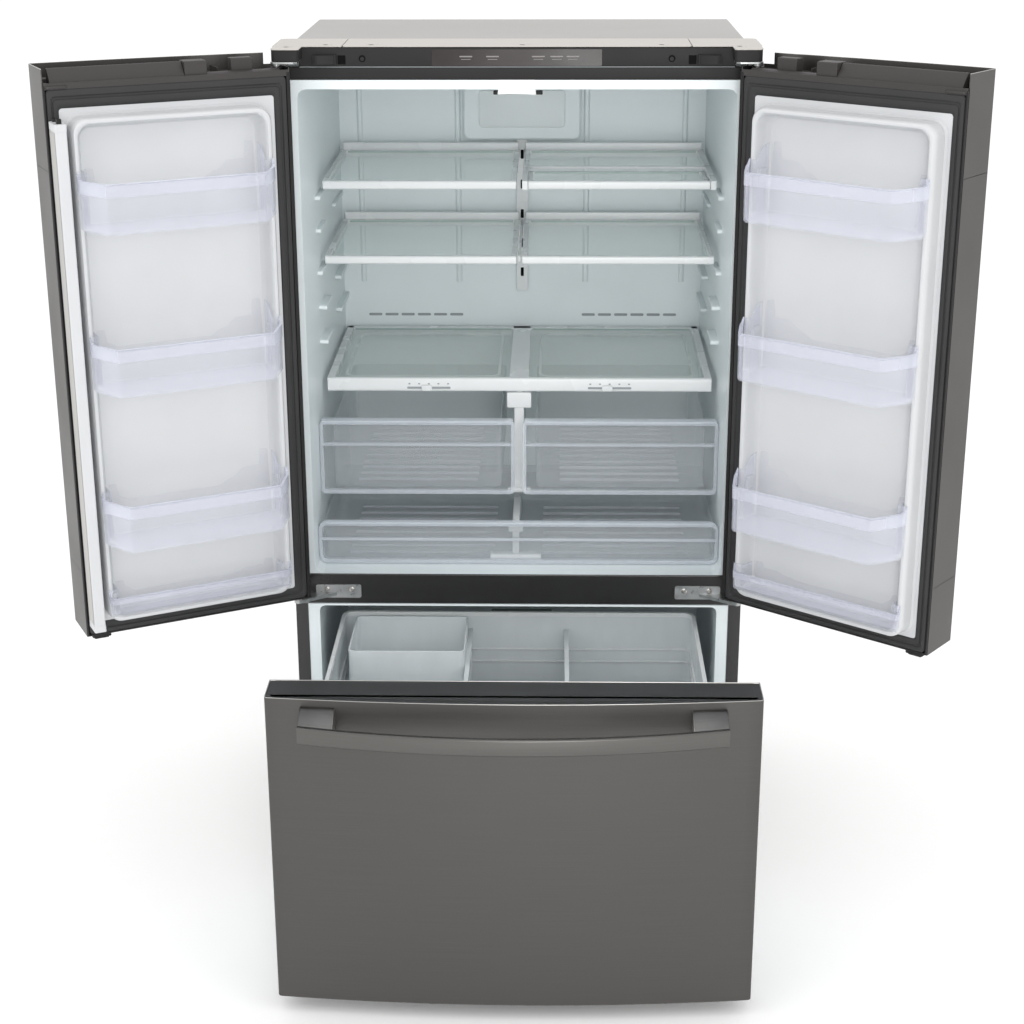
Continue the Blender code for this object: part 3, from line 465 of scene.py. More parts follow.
# Grey for flat slots and louvres, painted shade in the openings, and for a few small marks and the line in
# the top trim's groove.
SLOT_SHADE_AND_MARK_GREY = Finish("duct_slot_grey", (0.30, 0.33, 0.34), 0.6)
RUBBER = Finish("gasket_rubber_black", (0.030, 0.030, 0.031), 0.62, specular=0.35, change=0.12, texture=900.0)
NYLON = Finish("roller_nylon_moulded", (0.60, 0.60, 0.58), 0.5)
ZINC = Zinc("zinc_plated_steel", (0.40, 0.41, 0.41), 0.34, change=0.08)
GALVANISED = Zinc("galvanised_sheet", (0.46, 0.47, 0.48), 0.45, change=0.14)
BIN_CLEAR = Clear("bin_clear_plastic", (0.80, 0.815, 0.91), 0.10, change=0.02, facing=0.09, grazing=0.55)
BIN_BAND = Clear("bin_band_plastic", (0.78, 0.80, 0.90), 0.12, facing=0.22, grazing=0.75)
DRAWER_CLEAR = Clear("crisper_clear_plastic", (0.80, 0.86, 0.90), 0.10, facing=0.08, grazing=0.50)
DRAWER_BAND = Clear("crisper_band_plastic", (0.80, 0.85, 0.91), 0.12, facing=0.34, grazing=0.80)
BASKET_CLEAR = Clear("basket_clear_plastic", (0.86, 0.91, 0.925), 0.16, facing=0.70, grazing=0.95)
SHELF_GLASS = Clear("shelf_tempered_glass", (0.80, 0.92, 0.88), 0.04, facing=0.07, grazing=0.40)
GLASS_EDGE = Clear("glass_edge_green", (0.42, 0.60, 0.55), 0.10, facing=0.60, grazing=0.85)


# Rig and shapes --------------------------------------------------------------------------------


class Rig:
    """Knows where each body stands at rest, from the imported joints."""

    def __init__(self, joints: Iterable[dict]) -> None:
        """Read the joints and the cabinet's place.

        Args:
            joints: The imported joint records.
        """
        self.joints = {joint["child"]: joint for joint in joints}
        low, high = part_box("cabinet_wrapper")
        self.origin = Matrix.Translation(((low.x + high.x) / 2, low.y, 0.0))

    def place(self, body: str) -> Matrix:
        """Transform from the shut drawing to a body's place at rest.

        Args:
            body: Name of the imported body.

        Returns:
            The matrix to give every point of a piece on that body.
        """
        joint = self.joints.get(body)
        if joint is None:
            return self.origin
        parent = self.place(joint["parent"])
        axis = Vector(joint["axis"])
        if joint.get("continuous") or body in DRAWN_AT_REST:
            return parent
        if joint["type"] == "slide":
            return Matrix.Translation(axis * -joint["range_m"][0]) @ parent
        point = Vector(joint["pos_m"])
        turn = Matrix.Rotation(math.radians(-joint["range_deg"][0]), 4, axis)
        return Matrix.Translation(point) @ turn @ Matrix.Translation(-point) @ parent


RIG = Rig(frame["joints"])


class Form:
    """Collects closed shells into one piece; x is given from the middle plane outwards."""

    def __init__(self, side: Side = Side.RIGHT) -> None:
        """Start an empty form.

        Args:
            side: Side it is drawn for; the left side mirrors every x.
        """
        self.sign = side.value
        self.mesh = bmesh.new()

    def loft(self, rings: Sequence[Ring], finish: int = 0, wrap: bool = False) -> "Form":
        """Skin rings of equal point count into one closed shell.

        Args:
            rings: The rings in order; both ends are capped unless wrapped.
            finish: Index of the finish the faces take.
            wrap: Join the last ring to the first instead of capping.

        Returns:
            The form itself.
        """
        loops = [[self.mesh.verts.new((self.sign * x, y, z)) for x, y, z in ring] for ring in rings]
        pairs = list(zip(loops, loops[1:]))
        made = []
        if wrap:
            pairs.append((loops[-1], loops[0]))
        else:
            made += [self.mesh.faces.new(loops[0]), self.mesh.faces.new(loops[-1])]
        for low, high in pairs:
            for i, _ in enumerate(low):
                j = (i + 1) % len(low)
                made.append(self.mesh.faces.new((low[i], low[j], high[j], high[i])))
        for face in made:
            face.material_index = finish
        return self

    def box(self, x: Span, y: Span, z: Span, finish: int = 0) -> "Form":
        """Add a block between these limits and return the form."""
        return self.loft([at_z(rect(x, y), z[0]), at_z(rect(x, y), z[1])], finish)

    def plate(self, outline: Outline, y: Span, finish: int = 0) -> "Form":
        """Add an (x, z) outline made solid between two depths and return the form."""
        return self.loft([at_y(outline, y[0]), at_y(outline, y[1])], finish)

    def slab(self, outline: Outline, z: Span, finish: int = 0) -> "Form":
        """Add an (x, y) outline made solid between two heights and return the form."""
        return self.loft([at_z(outline, z[0]), at_z(outline, z[1])], finish)

    def bar(self, outline: Outline, x: Span, finish: int = 0) -> "Form":
        """Add a (y, z) outline made solid between two sideways places and return the form."""
        return self.loft([at_x(outline, x[0]), at_x(outline, x[1])], finish)

    def screw(self, centre: Point3, radius: float, rise: float, up: bool, finish: int = 0) -> "Form":
        """A domed screw head with a cross recess, facing up or forwards.

        Args:
            centre: Middle of the seat.
            radius: Radius of the head.
            rise: Height of the head.
            up: True to face up, False to face forwards.
            finish: Index of the finish of the head.

        Returns:
            The form itself.
        """
        sides = 20
        profile = (
            (radius, 0.0), (radius, 0.45), (0.82 * radius, 0.85), (0.5 * radius, 1.0), (0.42 * radius, 0.98),
            (0.30 * radius, 0.35)
        )
        rings = []
        for size, share in profile:
            flat = circle((0.0, 0.0), size, sides)
            if size < 0.45 * radius:
                flat = [
                    (u * (1.0 if i % 5 else 0.45), v * (1.0 if i % 5 else 0.45)) for i,
                    (u, v) in enumerate(flat)
                ]
            if up:
                rings.append([(centre[0] + u, centre[1] + v, centre[2] + rise * share) for u, v in flat])
            else:
                rings.append([(centre[0] + u, centre[1] - rise * share, centre[2] + v) for u, v in flat])
        return self.loft(rings, finish)

    def piece(
        self,
        name: str,
        body: str,
        finishes: Sequence[Finish],
        bevel: float = 0.0,
        replaces: Sequence[str] = (),
        steps: int = 2,
    ) -> bpy.types.Object:
        """Turn the form into a piece that rides on a body.

        Args:
            name: Name of the piece.
            body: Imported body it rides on.
            finishes: Finishes in the order of the face indices.
            bevel: Width of the softened edges, or zero for none.
            replaces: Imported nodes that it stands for.
            steps: Segments in each softened edge.

        Returns:
            The new object.
        """
        bmesh.ops.remove_doubles(self.mesh, verts=self.mesh.verts, dist=MERGE)
        bmesh.ops.recalc_face_normals(self.mesh, faces=self.mesh.faces)
        self.mesh.transform(RIG.place(body))
        data = bpy.data.meshes.new(name)
        self.mesh.to_mesh(data)
        self.mesh.free()
        for finish in finishes:
            data.materials.append(finish.material())
        data.shade_smooth()
        data.set_sharp_from_angle(angle=math.radians(SMOOTH_DEG))
        obj = bpy.data.objects.new(name, data)
        bpy.context.scene.collection.objects.link(obj)
        if bevel:
            soften(obj, bevel, steps)
        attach(obj, body)
        if replaces:
            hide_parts(*replaces)
        return obj


def soften(obj: bpy.types.Object, width: float, steps: int = 2) -> None:
    """Add a Bevel modifier to an object's sharp edges.

    Args:
        obj: The object.
        width: Width of the bevel.
        steps: Its segments.
    """
    modifier = obj.modifiers.new("soft_edges", "BEVEL")
    modifier.width = width
    modifier.segments = steps
    modifier.limit_method = "ANGLE"
    modifier.angle_limit = math.radians(BEVEL_DEG)
    modifier.harden_normals = False
    modifier.use_clamp_overlap = True


def keep(node: str, finish: Finish, bevel: float = 0.0) -> None:
    """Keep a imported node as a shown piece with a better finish.

    Args:
        node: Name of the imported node.
        finish: Finish for all its faces.
        bevel: Width of its softened edges, or zero for none.
    """
    obj = frame["nodes"][node]
    obj.data.materials.clear()
    obj.data.materials.append(finish.material())
    for polygon in obj.data.polygons:
        polygon.material_index = 0
    if bevel:
        soften(obj, bevel)


# Sub-assemblies --------------------------------------------------------------------------------


@dataclass
class Case:
    """Painted cabinet with its top covers, trim, hinges, switches, feet and machine space."""

    half: float = 0.454
    top: float = 1.750
    cover_top: float = 1.7735
    cover_back: float = 0.125
    seam: float = 0.324
    nose: Span = (0.398, 0.4508)
    nose_front: float = -0.0545
    trim_half: float = 0.405
    trim_low: float = 1.7122
    trim_groove: float = 1.735
    trim_top: float = 1.7705
    hinge: Point2 = (0.4413, -0.0412)
    rail: Span = (0.659, 0.7232)

    def build(self) -> None:
        """Make every piece of the case."""
        self.shell()
        self.covers()
        self.trim()
        for side in Side:
            self.middle_hinge(side)
            self.top_hinge(side)
            self.switch(side)
        self.machine()

    def shell(self) -> None:
        """Painted wrapper, back sheet and the black rail between the two spaces."""
        keep("cabinet_wrapper", CASE_PAINT, 0.0006)
        keep("rear_panel", GALVANISED)
        keep("compressor_cover", GALVANISED)
        keep("centre_rail", BLACK_PAINT, 0.0005)
        flange = Form()
        for sign in (-1, 1):
            low, high = sorted((sign * 0.4292, sign * 0.4538))
            flange.box((low, high), (-0.0008, -0.0002), (0.056, 0.6585))
            flange.box((low, high), (-0.0008, -0.0002), (0.7240, 1.7115))
        flange.piece("front_flange_liners", "cabinet", [BLACK_PAINT])
        groove = Form()
        for low, high, y in ((-0.440, -0.170, 0.1265), (-0.410, -0.180, 0.1480)):
            groove.box((low, high), (y, y + 0.006), (self.top - 0.0005, self.top + 0.0012))
        groove.piece("top_harness_channel", "cabinet", [DARK_PLASTIC], 0.0004)

    def covers(self) -> None:
        """Centre cover and the two hinge covers, each with its screws."""
        lip = self.trim_top + 0.0005
        for side in Side:
            form = Form(side)
            out, back, low, r = self.half - 0.0006, self.cover_back, self.top + 0.0003, 0.006
            nose = [
                (self.seam + 0.0007, -0.001), (self.nose[0], -0.001), (self.nose[0], self.nose_front + 0.004)
            ]
            nose += [(self.nose[0] + 0.004, self.nose_front), (self.nose[1] - 0.010, self.nose_front)]
            nose += arc((self.nose[1] - 0.010, self.nose_front + 0.010), 0.010, -90.0, 0.0, 4)
            nose += [(self.nose[1], -0.001), (out, 0.002)]
            nose += arc((out - 0.012, back - 0.012), 0.012, 0.0, 90.0, 4) + [(self.seam + 0.0007, back)]
            form.slab(nose, (lip, self.cover_top))
            body = [(self.seam + 0.0007, 0.0132), (out, 0.0132)]
            body += arc((out - 0.012, back - 0.012), 0.012, 0.0, 90.0, 4) + [(self.seam + 0.0007, back)]
            form.slab(body, (low, lip))
            # The skirt under the nose takes the dark plastic: painted shade on the cover's side faces below
            # its light top.
            skirt = [(self.nose[0] + 0.001, 0.001), (self.nose[0] + 0.001, self.nose_front + 0.0045)]
            skirt += [
                (self.nose[0] + 0.0045, self.nose_front + 0.001),
                (self.nose[1] - 0.010, self.nose_front + 0.001)
            ]
            skirt += arc((self.nose[1] - 0.010, self.nose_front + 0.010), 0.009, -90.0, 0.0, 4)
            skirt += [(self.nose[1] - 0.001, 0.001)]
            form.slab(skirt, (1.7505, lip), 1)
            word = side.word
            form.piece("hinge_cover_moulding_" + word, "cabinet", [COVER_PLASTIC, DARK_PLASTIC],
                       0.0010, ["hinge_cover_" + word])
        edge = self.seam - 0.0007
        centre = Form()
        outline = rounded((-edge, edge), (-0.001, self.cover_back), r, 4)
        centre.slab(outline, (lip, self.cover_top))
        centre.slab(rounded((-edge, edge), (0.0132, self.cover_back), r, 4), (self.top + 0.0003, lip))
        centre.piece(
            "top_cover_moulding", "cabinet", [COVER_PLASTIC], 0.0010, ["top_cover_centre"]
        )
        self.cover_screws()

    def cover_screws(self) -> None:
        """Recessed screws along the front of the covers."""
        form = Form()
        seats = (
            (-0.356, 0.016), (-0.271, 0.016), (0.010, 0.014), (0.268, 0.014), (0.410, -0.012),
            (-0.425, -0.020)
        )
        for x, y in seats:
            form.slab(circle((x, y), 0.0050), (self.cover_top - 0.0002, self.cover_top + 0.0000))
            # The cross recess and the slot beside each screw are flat near black discs and bars: painted
            # shade.
            form.slab(circle((x, y), 0.0028), (self.cover_top - 0.0004, self.cover_top), 1)
            form.box(
                (x + 0.010, x + 0.013), (y - 0.001, y + 0.001), (self.cover_top - 0.0004, self.cover_top), 1
            )
        form.piece("cover_screws", "cabinet", [DARK_PLASTIC, RECESS_SHADE])

    def trim(self) -> None:
        """Dark strip with the control panel, its marks and the plugs."""
        form = Form()
        low_band = rounded((-0.0002, 0.0125), (self.trim_low, self.trim_groove - 0.0006), 0.0012, 3)
        high_band = rounded((0.0006, 0.0125), (self.trim_groove, self.trim_top), 0.0018, 3)
        form.bar(low_band, (-0.4285, 0.4285))
        form.bar(high_band, (-self.trim_half, self.trim_half))
        form.box((-0.404, 0.404), (0.0002, 0.0010), (self.trim_groove - 0.0010, self.trim_groove + 0.0004), 1)
        for side in Side:
            x = side.value
            # The openings beside the switch levers and the rings round the plugs are flat near black: painted
            # shade.
            form.box(tuple(sorted((x * 0.318, x * 0.3325))), (0.0002, 0.0015), (1.7395, 1.7560), 2)
            form.plate(circle((x * 0.287, 1.7500), 0.0082), (0.0002, 0.0020), 0)
            form.plate(circle((x * 0.287, 1.7500), 0.0064), (-0.0001, 0.0020), 2)
            form.plate(circle((x * 0.287, 1.7494), 0.0040), (-0.0004, 0.0020), 0)
        form.piece(
            "top_trim_strip", "cabinet", [DARK_PLASTIC, SLOT_SHADE_AND_MARK_GREY, RECESS_SHADE], 0.0004,
            ["top_trim"]
        )
        panel = Form()
        panel.plate(rounded((-0.158, 0.158), (1.7362, 1.7672), 0.002, 3), (-0.0002, 0.0020))
        for x in (-0.0945, -0.045, 0.040, 0.074, 0.104):
            panel.plate(rounded((x - 0.012, x + 0.012), (1.7525, 1.7550), 0.0010, 2), (-0.0005, 0.0010), 1)
            panel.plate(rounded((x - 0.009, x + 0.009), (1.7480, 1.7492), 0.0005, 2), (-0.0005, 0.0010), 1)
        panel.piece("control_panel", "cabinet", [PANEL_GLOSS, PANEL_MARK], 0.0003)

    def top_hinge(self, side: Side) -> None:
        """Arm and stepped pin below the nose of a hinge cover."""
        x, y = self.hinge
        form = Form(side)
        form.box((0.340, 0.4495), (0.035, 0.115), (self.top + 0.0003, 1.7655))
        outline = [
            (0.402, -0.001), (0.402, -0.050), (0.4085, -0.0565)
        ] + arc((x, y - 0.006), 0.0100, -90.0, 0.0, 6) + [(0.4513, -0.001)]
        form.slab(outline, (1.7462, 1.7500))
        for radius, low, high in ((0.0080, 1.7415, 1.7465), (0.0050, 1.7225, 1.7420)):
            form.slab(circle((x, y), radius), (low, high))
        form.piece(
            "top_hinge_assembly_" + side.word, "cabinet", [ZINC], 0.0005,
            ["top_hinge_" + side.word]
        )

    def middle_hinge(self, side: Side) -> None:
        """Plate with two screws on the rail, arm and collared pin."""
        x, y = self.hinge
        form = Form(side)
        form.plate(rounded((0.319, 0.411), (0.672, 0.7005), 0.004), (-0.0025, -0.0003))
        arm = [(0.366, -0.0008)] + arc((x, y), 0.0095, 225.0, 405.0, 12) + [(0.4108, -0.0008)]
        form.slab(arm, (0.6775, 0.6840))
        form.slab(circle((x, y), 0.0085), (0.6835, 0.6880), 1)
        form.slab(circle((x, y), 0.0055), (0.6870, 0.7110), 1)
        for place in (0.338, 0.388):
            form.screw((place, -0.0025, 0.6905), 0.0058, 0.0024, False, 1)
        form.piece("middle_hinge_assembly_" + side.word, "cabinet", [ZINC, BRIGHT_STEEL_AND_HIGHLIGHT], 0.0006,
                   ["middle_hinge_" + side.word])

    def switch(self, side: Side) -> None:
        """Lever that the top of a door presses in, with its knuckle and grip ribs."""
        word = side.word
        form = Form(side)
        blade = [
            (0.336, -0.0055), (0.345, -0.0070), (0.372, -0.0066), (0.3795, -0.0050), (0.3795, -0.0022),
            (0.372, -0.0012), (0.336, -0.0012)
        ]
        form.slab(blade, (1.7402, 1.7568))
        form.slab(circle((0.3375, -0.0040), 0.0030), (1.7395, 1.7575))
        for i in range(3):
            x = 0.3715 + 0.0026 * i
            form.box((x, x + 0.0010), (-0.0070, -0.0050), (1.7415, 1.7555))
        form.piece(
            "door_switch_lever_" + word, "door_switch_" + word, [DARK_PLASTIC], 0.0006,
            ["door_switch_" + word]
        )

    def machine(self) -> None:
        """Compressor, grille, feet and rollers, with the tread rings of the rollers."""
        keep("compressor", BLACK_PAINT, 0.001)
        keep("base_grille", DARK_PLASTIC, 0.0006)
        for side in Side:
            word = side.word
            keep("leg_" + word, ZINC, 0.0005)
            keep("roller_" + word, NYLON, 0.0004)


@dataclass
class FreshFood:
    """Fresh food space: liner, lamp, shelves, crisper cover, crispers and the deli drawer."""

    wall: float = 0.404
    back: float = 0.655
    shelf_x: Span = (0.006, 0.397)
    shelf_y: Span = (0.235, 0.630)
    upper: Span = (1.464, 1.482)
    lower: Span = (1.311, 1.328)

    def build(self) -> None:
        """Make every piece in the fresh food space."""
        keep("fridge_liner", LINER_WHITE, 0.0030)
        self.ribs()
        self.lamp()
        self.mullion_guide()
        self.track()
        self.tray_shelf("upper_left", Side.LEFT, self.upper)
        self.tray_shelf("lower_left", Side.LEFT, self.lower)
        self.tray_shelf("lower_right", Side.RIGHT, self.lower)
        self.sliding_shelf()
        self.crisper_cover()
        for side in Side:
            self.crisper(side)
        self.knobs()
        self.deli()

    def ribs(self) -> None:
        """Shelf ribs moulded on both side walls, and the vertical folds of the back wall."""
        form = Form()
        for side in Side:
            s = side.value
            for z in (1.4525, 1.3860, 1.2995, 1.2280, 1.1560):
                for y0, y1 in ((0.200, 0.300), (0.480, 0.640)):
                    outline = rounded((z - 0.0045, z + 0.0045), (y0, y1), 0.004, 3)
                    inner = 0.3985 if z > 1.29 else 0.392
                    rings = [[(s * x, y, v) for v, y in outline] for x in (inner, 0.4095)]
                    form.loft(rings)
        form.piece("liner_shelf_ribs", "cabinet", [LINER_WHITE], 0.0012)
        folds = Form()
        for side in Side:
            s = side.value
            for x0, x1 in ((0.135, 0.150), (0.352, 0.366)):
                outline = [
                    (s * x0, 0.6556), (s * (x0 + 0.004), 0.6510), (s * (x1 - 0.004), 0.6510),
                    (s * x1, 0.6556)
                ]
                folds.slab(outline, (1.180, 1.6800))
        folds.piece("liner_back_folds", "cabinet", [LINER_WHITE], 0.0012)

    def lamp(self) -> None:
        """Air duct cover with its frosted lamp lens and louvres."""
        form = Form()
        outline = rounded((-0.130, 0.130), (1.503, 1.690), 0.016)
        form.loft(
            [
                at_y(inset(outline, 0.005), 0.6285), at_y(inset(outline, 0.001), 0.6310),
                at_y(outline, 0.635), at_y(outline, 0.6545)
            ]
        )
        lens = rounded((-0.095, 0.095), (1.530, 1.612), 0.010)
        form.loft([at_y(inset(lens, 0.004), 0.6240), at_y(inset(lens, 0.001), 0.6255), at_y(lens, 0.6300)], 1)
        # The louvres are flat grey plates: painted shade in the openings.
        for i in range(7):
            x = -0.078 + 0.026 * i
            form.plate(rounded((x - 0.009, x + 0.009), (1.640, 1.646), 0.003, 3), (0.6275, 0.6300), 2)
            form.plate(rounded((x - 0.009, x + 0.009), (1.656, 1.662), 0.003, 3), (0.6275, 0.6300), 2)
        form.piece(
            "air_duct_and_lamp", "cabinet", [LINER_WHITE, LENS_WHITE, SLOT_SHADE_AND_MARK_GREY], 0.0010,
            ["air_duct_cover"]
        )
        # The return air slots are flat grey plates: painted shade in the openings.
        slots = Form()
        for side in Side:
            for i in range(6):
                x = side.value * (0.150 + 0.037 * i)
                slots.plate(rounded((x - 0.015, x + 0.015), (1.1010, 1.1065), 0.0025, 3), (0.6535, 0.6548))
        slots.piece("return_air_slots", "cabinet", [SLOT_SHADE_AND_MARK_GREY])

    def mullion_guide(self) -> None:
        """Guide at the top of the opening that turns the mullion as the left door shuts."""
        form = Form()
        form.box((-0.0350, 0.0350), (0.0003, 0.0028), (1.6845, 1.7115))
        form.box((-0.0350, -0.0200), (0.0003, 0.0450), (1.6845, 1.6937))
        form.box((0.0060, 0.0350), (0.0003, 0.0450), (1.6845, 1.6937))
        form.box((-0.0350, 0.0350), (0.0300, 0.0450), (1.6845, 1.6937))
        form.box((-0.0440, -0.0352), (0.0040, 0.0200), (1.6835, 1.6900), 1)
        form.box((0.0352, 0.0480), (0.0040, 0.0200), (1.6835, 1.6900), 1)
        form.piece("mullion_guide", "cabinet", [SHELF_WHITE, DARK_PLASTIC], 0.0012)

    def track(self) -> None:
        """Slotted centre track that carries the inner ends of the shelves."""
        form = Form()
        form.plate(rounded((-0.013, 0.013), (1.164, 1.512), 0.004), (0.6405, 0.6548))
        for z in (1.196, 1.262, 1.328, 1.394, 1.460):
            # The slots are flat near black plates: painted shade in the slots.
            form.plate(rounded((-0.0035, 0.0035), (z, z + 0.020), 0.002, 3), (0.6398, 0.6410), 1)
        form.box((-0.0026, 0.0026), (0.250, 0.641), (1.3140, 1.3250), 0)
        form.piece("shelf_centre_track", "cabinet", [SHELF_WHITE, RECESS_SHADE], 0.0008)

    def frame(self, form: Form, z: Span, front: float) -> None:
        """Rim of one shelf: front bar with a rounded nose, side rails and a raised back lip.

        Args:
            form: Form to add to, drawn from the middle plane outwards.
            z: Bottom and top of the rim.
            front: Y of the front face.
        """
        x0, x1 = self.shelf_x
        low, high = z
        nose = rounded((front, front + 0.013), (low, high), 0.0045, 4)
        form.bar(nose, (x0, x1))
        for a, b in ((x0, x0 + 0.010), (x1 - 0.010, x1)):
            form.box((a, b), (front + 0.010, self.shelf_y[1] - 0.001), (low + 0.003, high))
        form.box((x0, x1), (self.shelf_y[1] - 0.014, self.shelf_y[1] - 0.001), (low + 0.004, high))
        form.bar(
            rounded(
                (self.shelf_y[1] - 0.008, self.shelf_y[1] - 0.001), (high - 0.003, high + 0.017), 0.003, 3
            ),
            (x0 + 0.002, x1 - 0.002)
        )

    def pane(self, name: str, side: Side, x: Span, y: Span, z: Span, body: str = "cabinet") -> None:
        """One sheet of shelf glass with its green edge.

        Args:
            name: Name of the piece.
            side: Side it lies on.
            x: Its sideways limits.
            y: Its depth limits.
            z: Bottom and top of the sheet.
            body: Body it rides on.
        """
        form = Form(side)
        form.slab(rounded(x, y, 0.004, 3), z)
        for start, stop in ((y[0] + 0.0004, y[0] + 0.0012), (y[1] - 0.0012, y[1] - 0.0004)):
            form.box((x[0] + 0.004, x[1] - 0.004), (start, stop), (z[0] - 0.0001, z[1] + 0.0001), 1)
        form.piece(name, body, [SHELF_GLASS, GLASS_EDGE])

    def tray_shelf(self, place: str, side: Side, z: Span) -> None:
        """Half-width shelf: moulded rim round a sheet of glass.

        Args:
            place: Words for its place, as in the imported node's name.
            side: Side it lies on.
            z: Bottom and top of its rim.
        """
        form = Form(side)
        self.frame(form, z, self.shelf_y[0])
        form.piece("shelf_rim_" + place, "cabinet", [SHELF_WHITE], 0.0010, ["shelf_" + place])
        x = (self.shelf_x[0] + 0.0095, self.shelf_x[1] - 0.0095)
        self.pane(
            "shelf_glass_" + place, side, x, (self.shelf_y[0] + 0.012, self.shelf_y[1] - 0.013),
            (z[1] - 0.0050, z[1] - 0.0010)
        )

    def sliding_shelf(self) -> None:
        """Upper right shelf: fixed rails and rear glass, and a front half that slides under it."""
        x0, x1 = self.shelf_x
        low, high = self.upper
        y0, y1 = self.shelf_y
        form = Form()
        for a, b in ((x0, x0 + 0.0115), (x1 - 0.0115, x1)):
            form.box((a, b), (y0, y1 - 0.001), (low, high))
        form.box((x0, x1), (0.410, 0.420), (high - 0.0065, high))
        form.box((x0, x1), (y1 - 0.014, y1 - 0.001), (low + 0.004, high))
        form.bar(
            rounded((y1 - 0.008, y1 - 0.001), (high - 0.003, high + 0.017), 0.003, 3),
            (x0 + 0.002, x1 - 0.002)
        )
        form.piece(
            "shelf_rim_upper_right", "cabinet", [SHELF_WHITE], 0.0010, ["shelf_upper_right"]
        )
        inner = (x0 + 0.0110, x1 - 0.0110)
        self.pane(
            "shelf_glass_upper_right", Side.RIGHT, inner, (0.419, y1 - 0.013), (high - 0.0050, high - 0.0010)
        )
        slide = Form()
        clear = (x0 + 0.0125, x1 - 0.0125)
        slide.bar(rounded((y0, y0 + 0.012), (low, high), 0.0045, 4), clear)
        for a, b in ((clear[0], clear[0] + 0.008), (clear[1] - 0.008, clear[1])):
            slide.box((a, b), (y0 + 0.008, 0.404), (high - 0.0145, high - 0.0085))
        slide.box(clear, (0.396, 0.405), (high - 0.0145, high - 0.0085))
        slide.piece(
            "slide_under_rim", "shelf_slide_under", [SHELF_WHITE], 0.0008,
            ["shelf_slide_under"]
        )
        pane_x = (clear[0] + 0.007, clear[1] - 0.007)
        self.pane(
            "slide_under_glass", Side.RIGHT, pane_x, (y0 + 0.011, 0.397), (high - 0.0130, high - 0.0090),
            "shelf_slide_under"
        )

    def crisper_cover(self) -> None:
        """Framed glass cover over the crispers, its slider tracks and the centre support."""
        x1 = self.shelf_x[1]
        form = Form()
        form.bar(rounded((0.200, 0.214), (1.051, 1.080), 0.0050, 4), (-x1, x1))
        for a, b in ((-x1, -x1 + 0.014), (x1 - 0.014, x1), (-0.020, 0.020)):
            form.box((a, b), (0.208, 0.639), (1.060, 1.080))
        form.box((-x1, x1), (0.622, 0.639), (1.060, 1.080))
        form.box((-0.0055, 0.0055), (0.204, 0.620), (0.830, 1.0655))
        form.plate(rounded((-0.025, 0.025), (1.0180, 1.0500), 0.003, 3), (0.1960, 0.2060))
        form.plate(rounded((-0.010, 0.010), (0.8320, 1.0200), 0.003, 3), (0.1990, 0.2100))
        form.bar(rounded((0.1970, 0.215), (0.8310, 0.8420), 0.003, 3), (-0.024, 0.024))
        for side in Side:
            s = side.value
            ring = rounded((0.040, 0.366), (0.236, 0.600), 0.026, 6)
            mirrored = [(s * u, v) for u, v in ring]
            hole = inset(mirrored, 0.0055)
            form.loft(
                [at_z(mirrored, 1.0690), at_z(mirrored, 1.0748), at_z(hole, 1.0748), at_z(hole, 1.0690)], 0,
                True
            )
            middle = s * 0.187
            # The slider's slot is a flat grey plate, painted shade in the slot; five small grey marks sit
            # above it.
            form.plate(
                rounded((middle - 0.045, middle + 0.045), (1.0572, 1.0618), 0.0020, 3), (0.1990, 0.2010), 1
            )
            for i in range(5):
                x = middle + s * (0.020 * i - 0.040)
                form.plate(rounded((x - 0.0022, x + 0.0022), (1.0665, 1.0695), 0.001, 2), (0.1992, 0.2010), 1)
        form.piece(
            "crisper_cover_rim", "cabinet", [SHELF_WHITE, SLOT_SHADE_AND_MARK_GREY], 0.0010, ["crisper_cover"]
        )
        for side in Side:
            self.pane(
                "crisper_cover_glass_" + side.word, side, (0.0195, x1 - 0.0135), (0.213, 0.623),
                (1.0750, 1.0790)
            )
            plate = Form(side)
            plate.box((0.0058, 0.0078), (0.215, 0.600), (0.846, 1.0500))
            plate.piece("centre_support_glass_" + side.word, "cabinet", [GLASS_EDGE])

    def knobs(self) -> None:
        """Humidity sliders with their finger ribs."""
        for side, x in ((Side.LEFT, -0.191), (Side.RIGHT, 0.182)):
            form = Form()
            outline = rounded((x - 0.011, x + 0.011), (1.0535, 1.0655), 0.004, 4)
            form.loft([at_y(inset(outline, 0.0012), 0.1942), at_y(outline, 0.1954), at_y(outline, 0.1996)])
            for i in range(3):
                middle = x - 0.004 + 0.004 * i
                form.box((middle - 0.0007, middle + 0.0007), (0.1932, 0.1950), (1.0555, 1.0635))
            word = side.word
            form.piece(
                "humidity_slider_" + word, "humidity_knob_" + word, [SHELF_WHITE], 0.0003,
                ["humidity_knob_" + word]
            )

    def tub(
        self, form: Form, outline: Outline, floor: float, rim: float, curve: float, wall: float = 0.0028
    ) -> None:
        """Thin open box with rounded lower edges and a rolled rim.

        Args:
            form: Form to add to.
            outline: Outside of the walls.
            floor: Underside of the floor.
            rim: Top of the walls.
            curve: Radius of the lower edges.
            wall: Wall thickness.
        """
        inner = inset(outline, wall)
        turns = [math.radians(90.0 * i / 4) for i in range(5)]
        rings = [
            at_z(inset(outline, curve * (1 - math.sin(t))), floor + curve * (1 - math.cos(t))) for t in turns
        ]
        rings.append(at_z(outline, rim))
        rings.append(at_z(inner, rim))
        lower = [
            at_z(
                inset(inner, curve * (1 - math.sin(t))), floor + wall + curve * (1 - math.cos(t))
            ) for t in reversed(turns)
        ]
        form.loft(rings + lower)

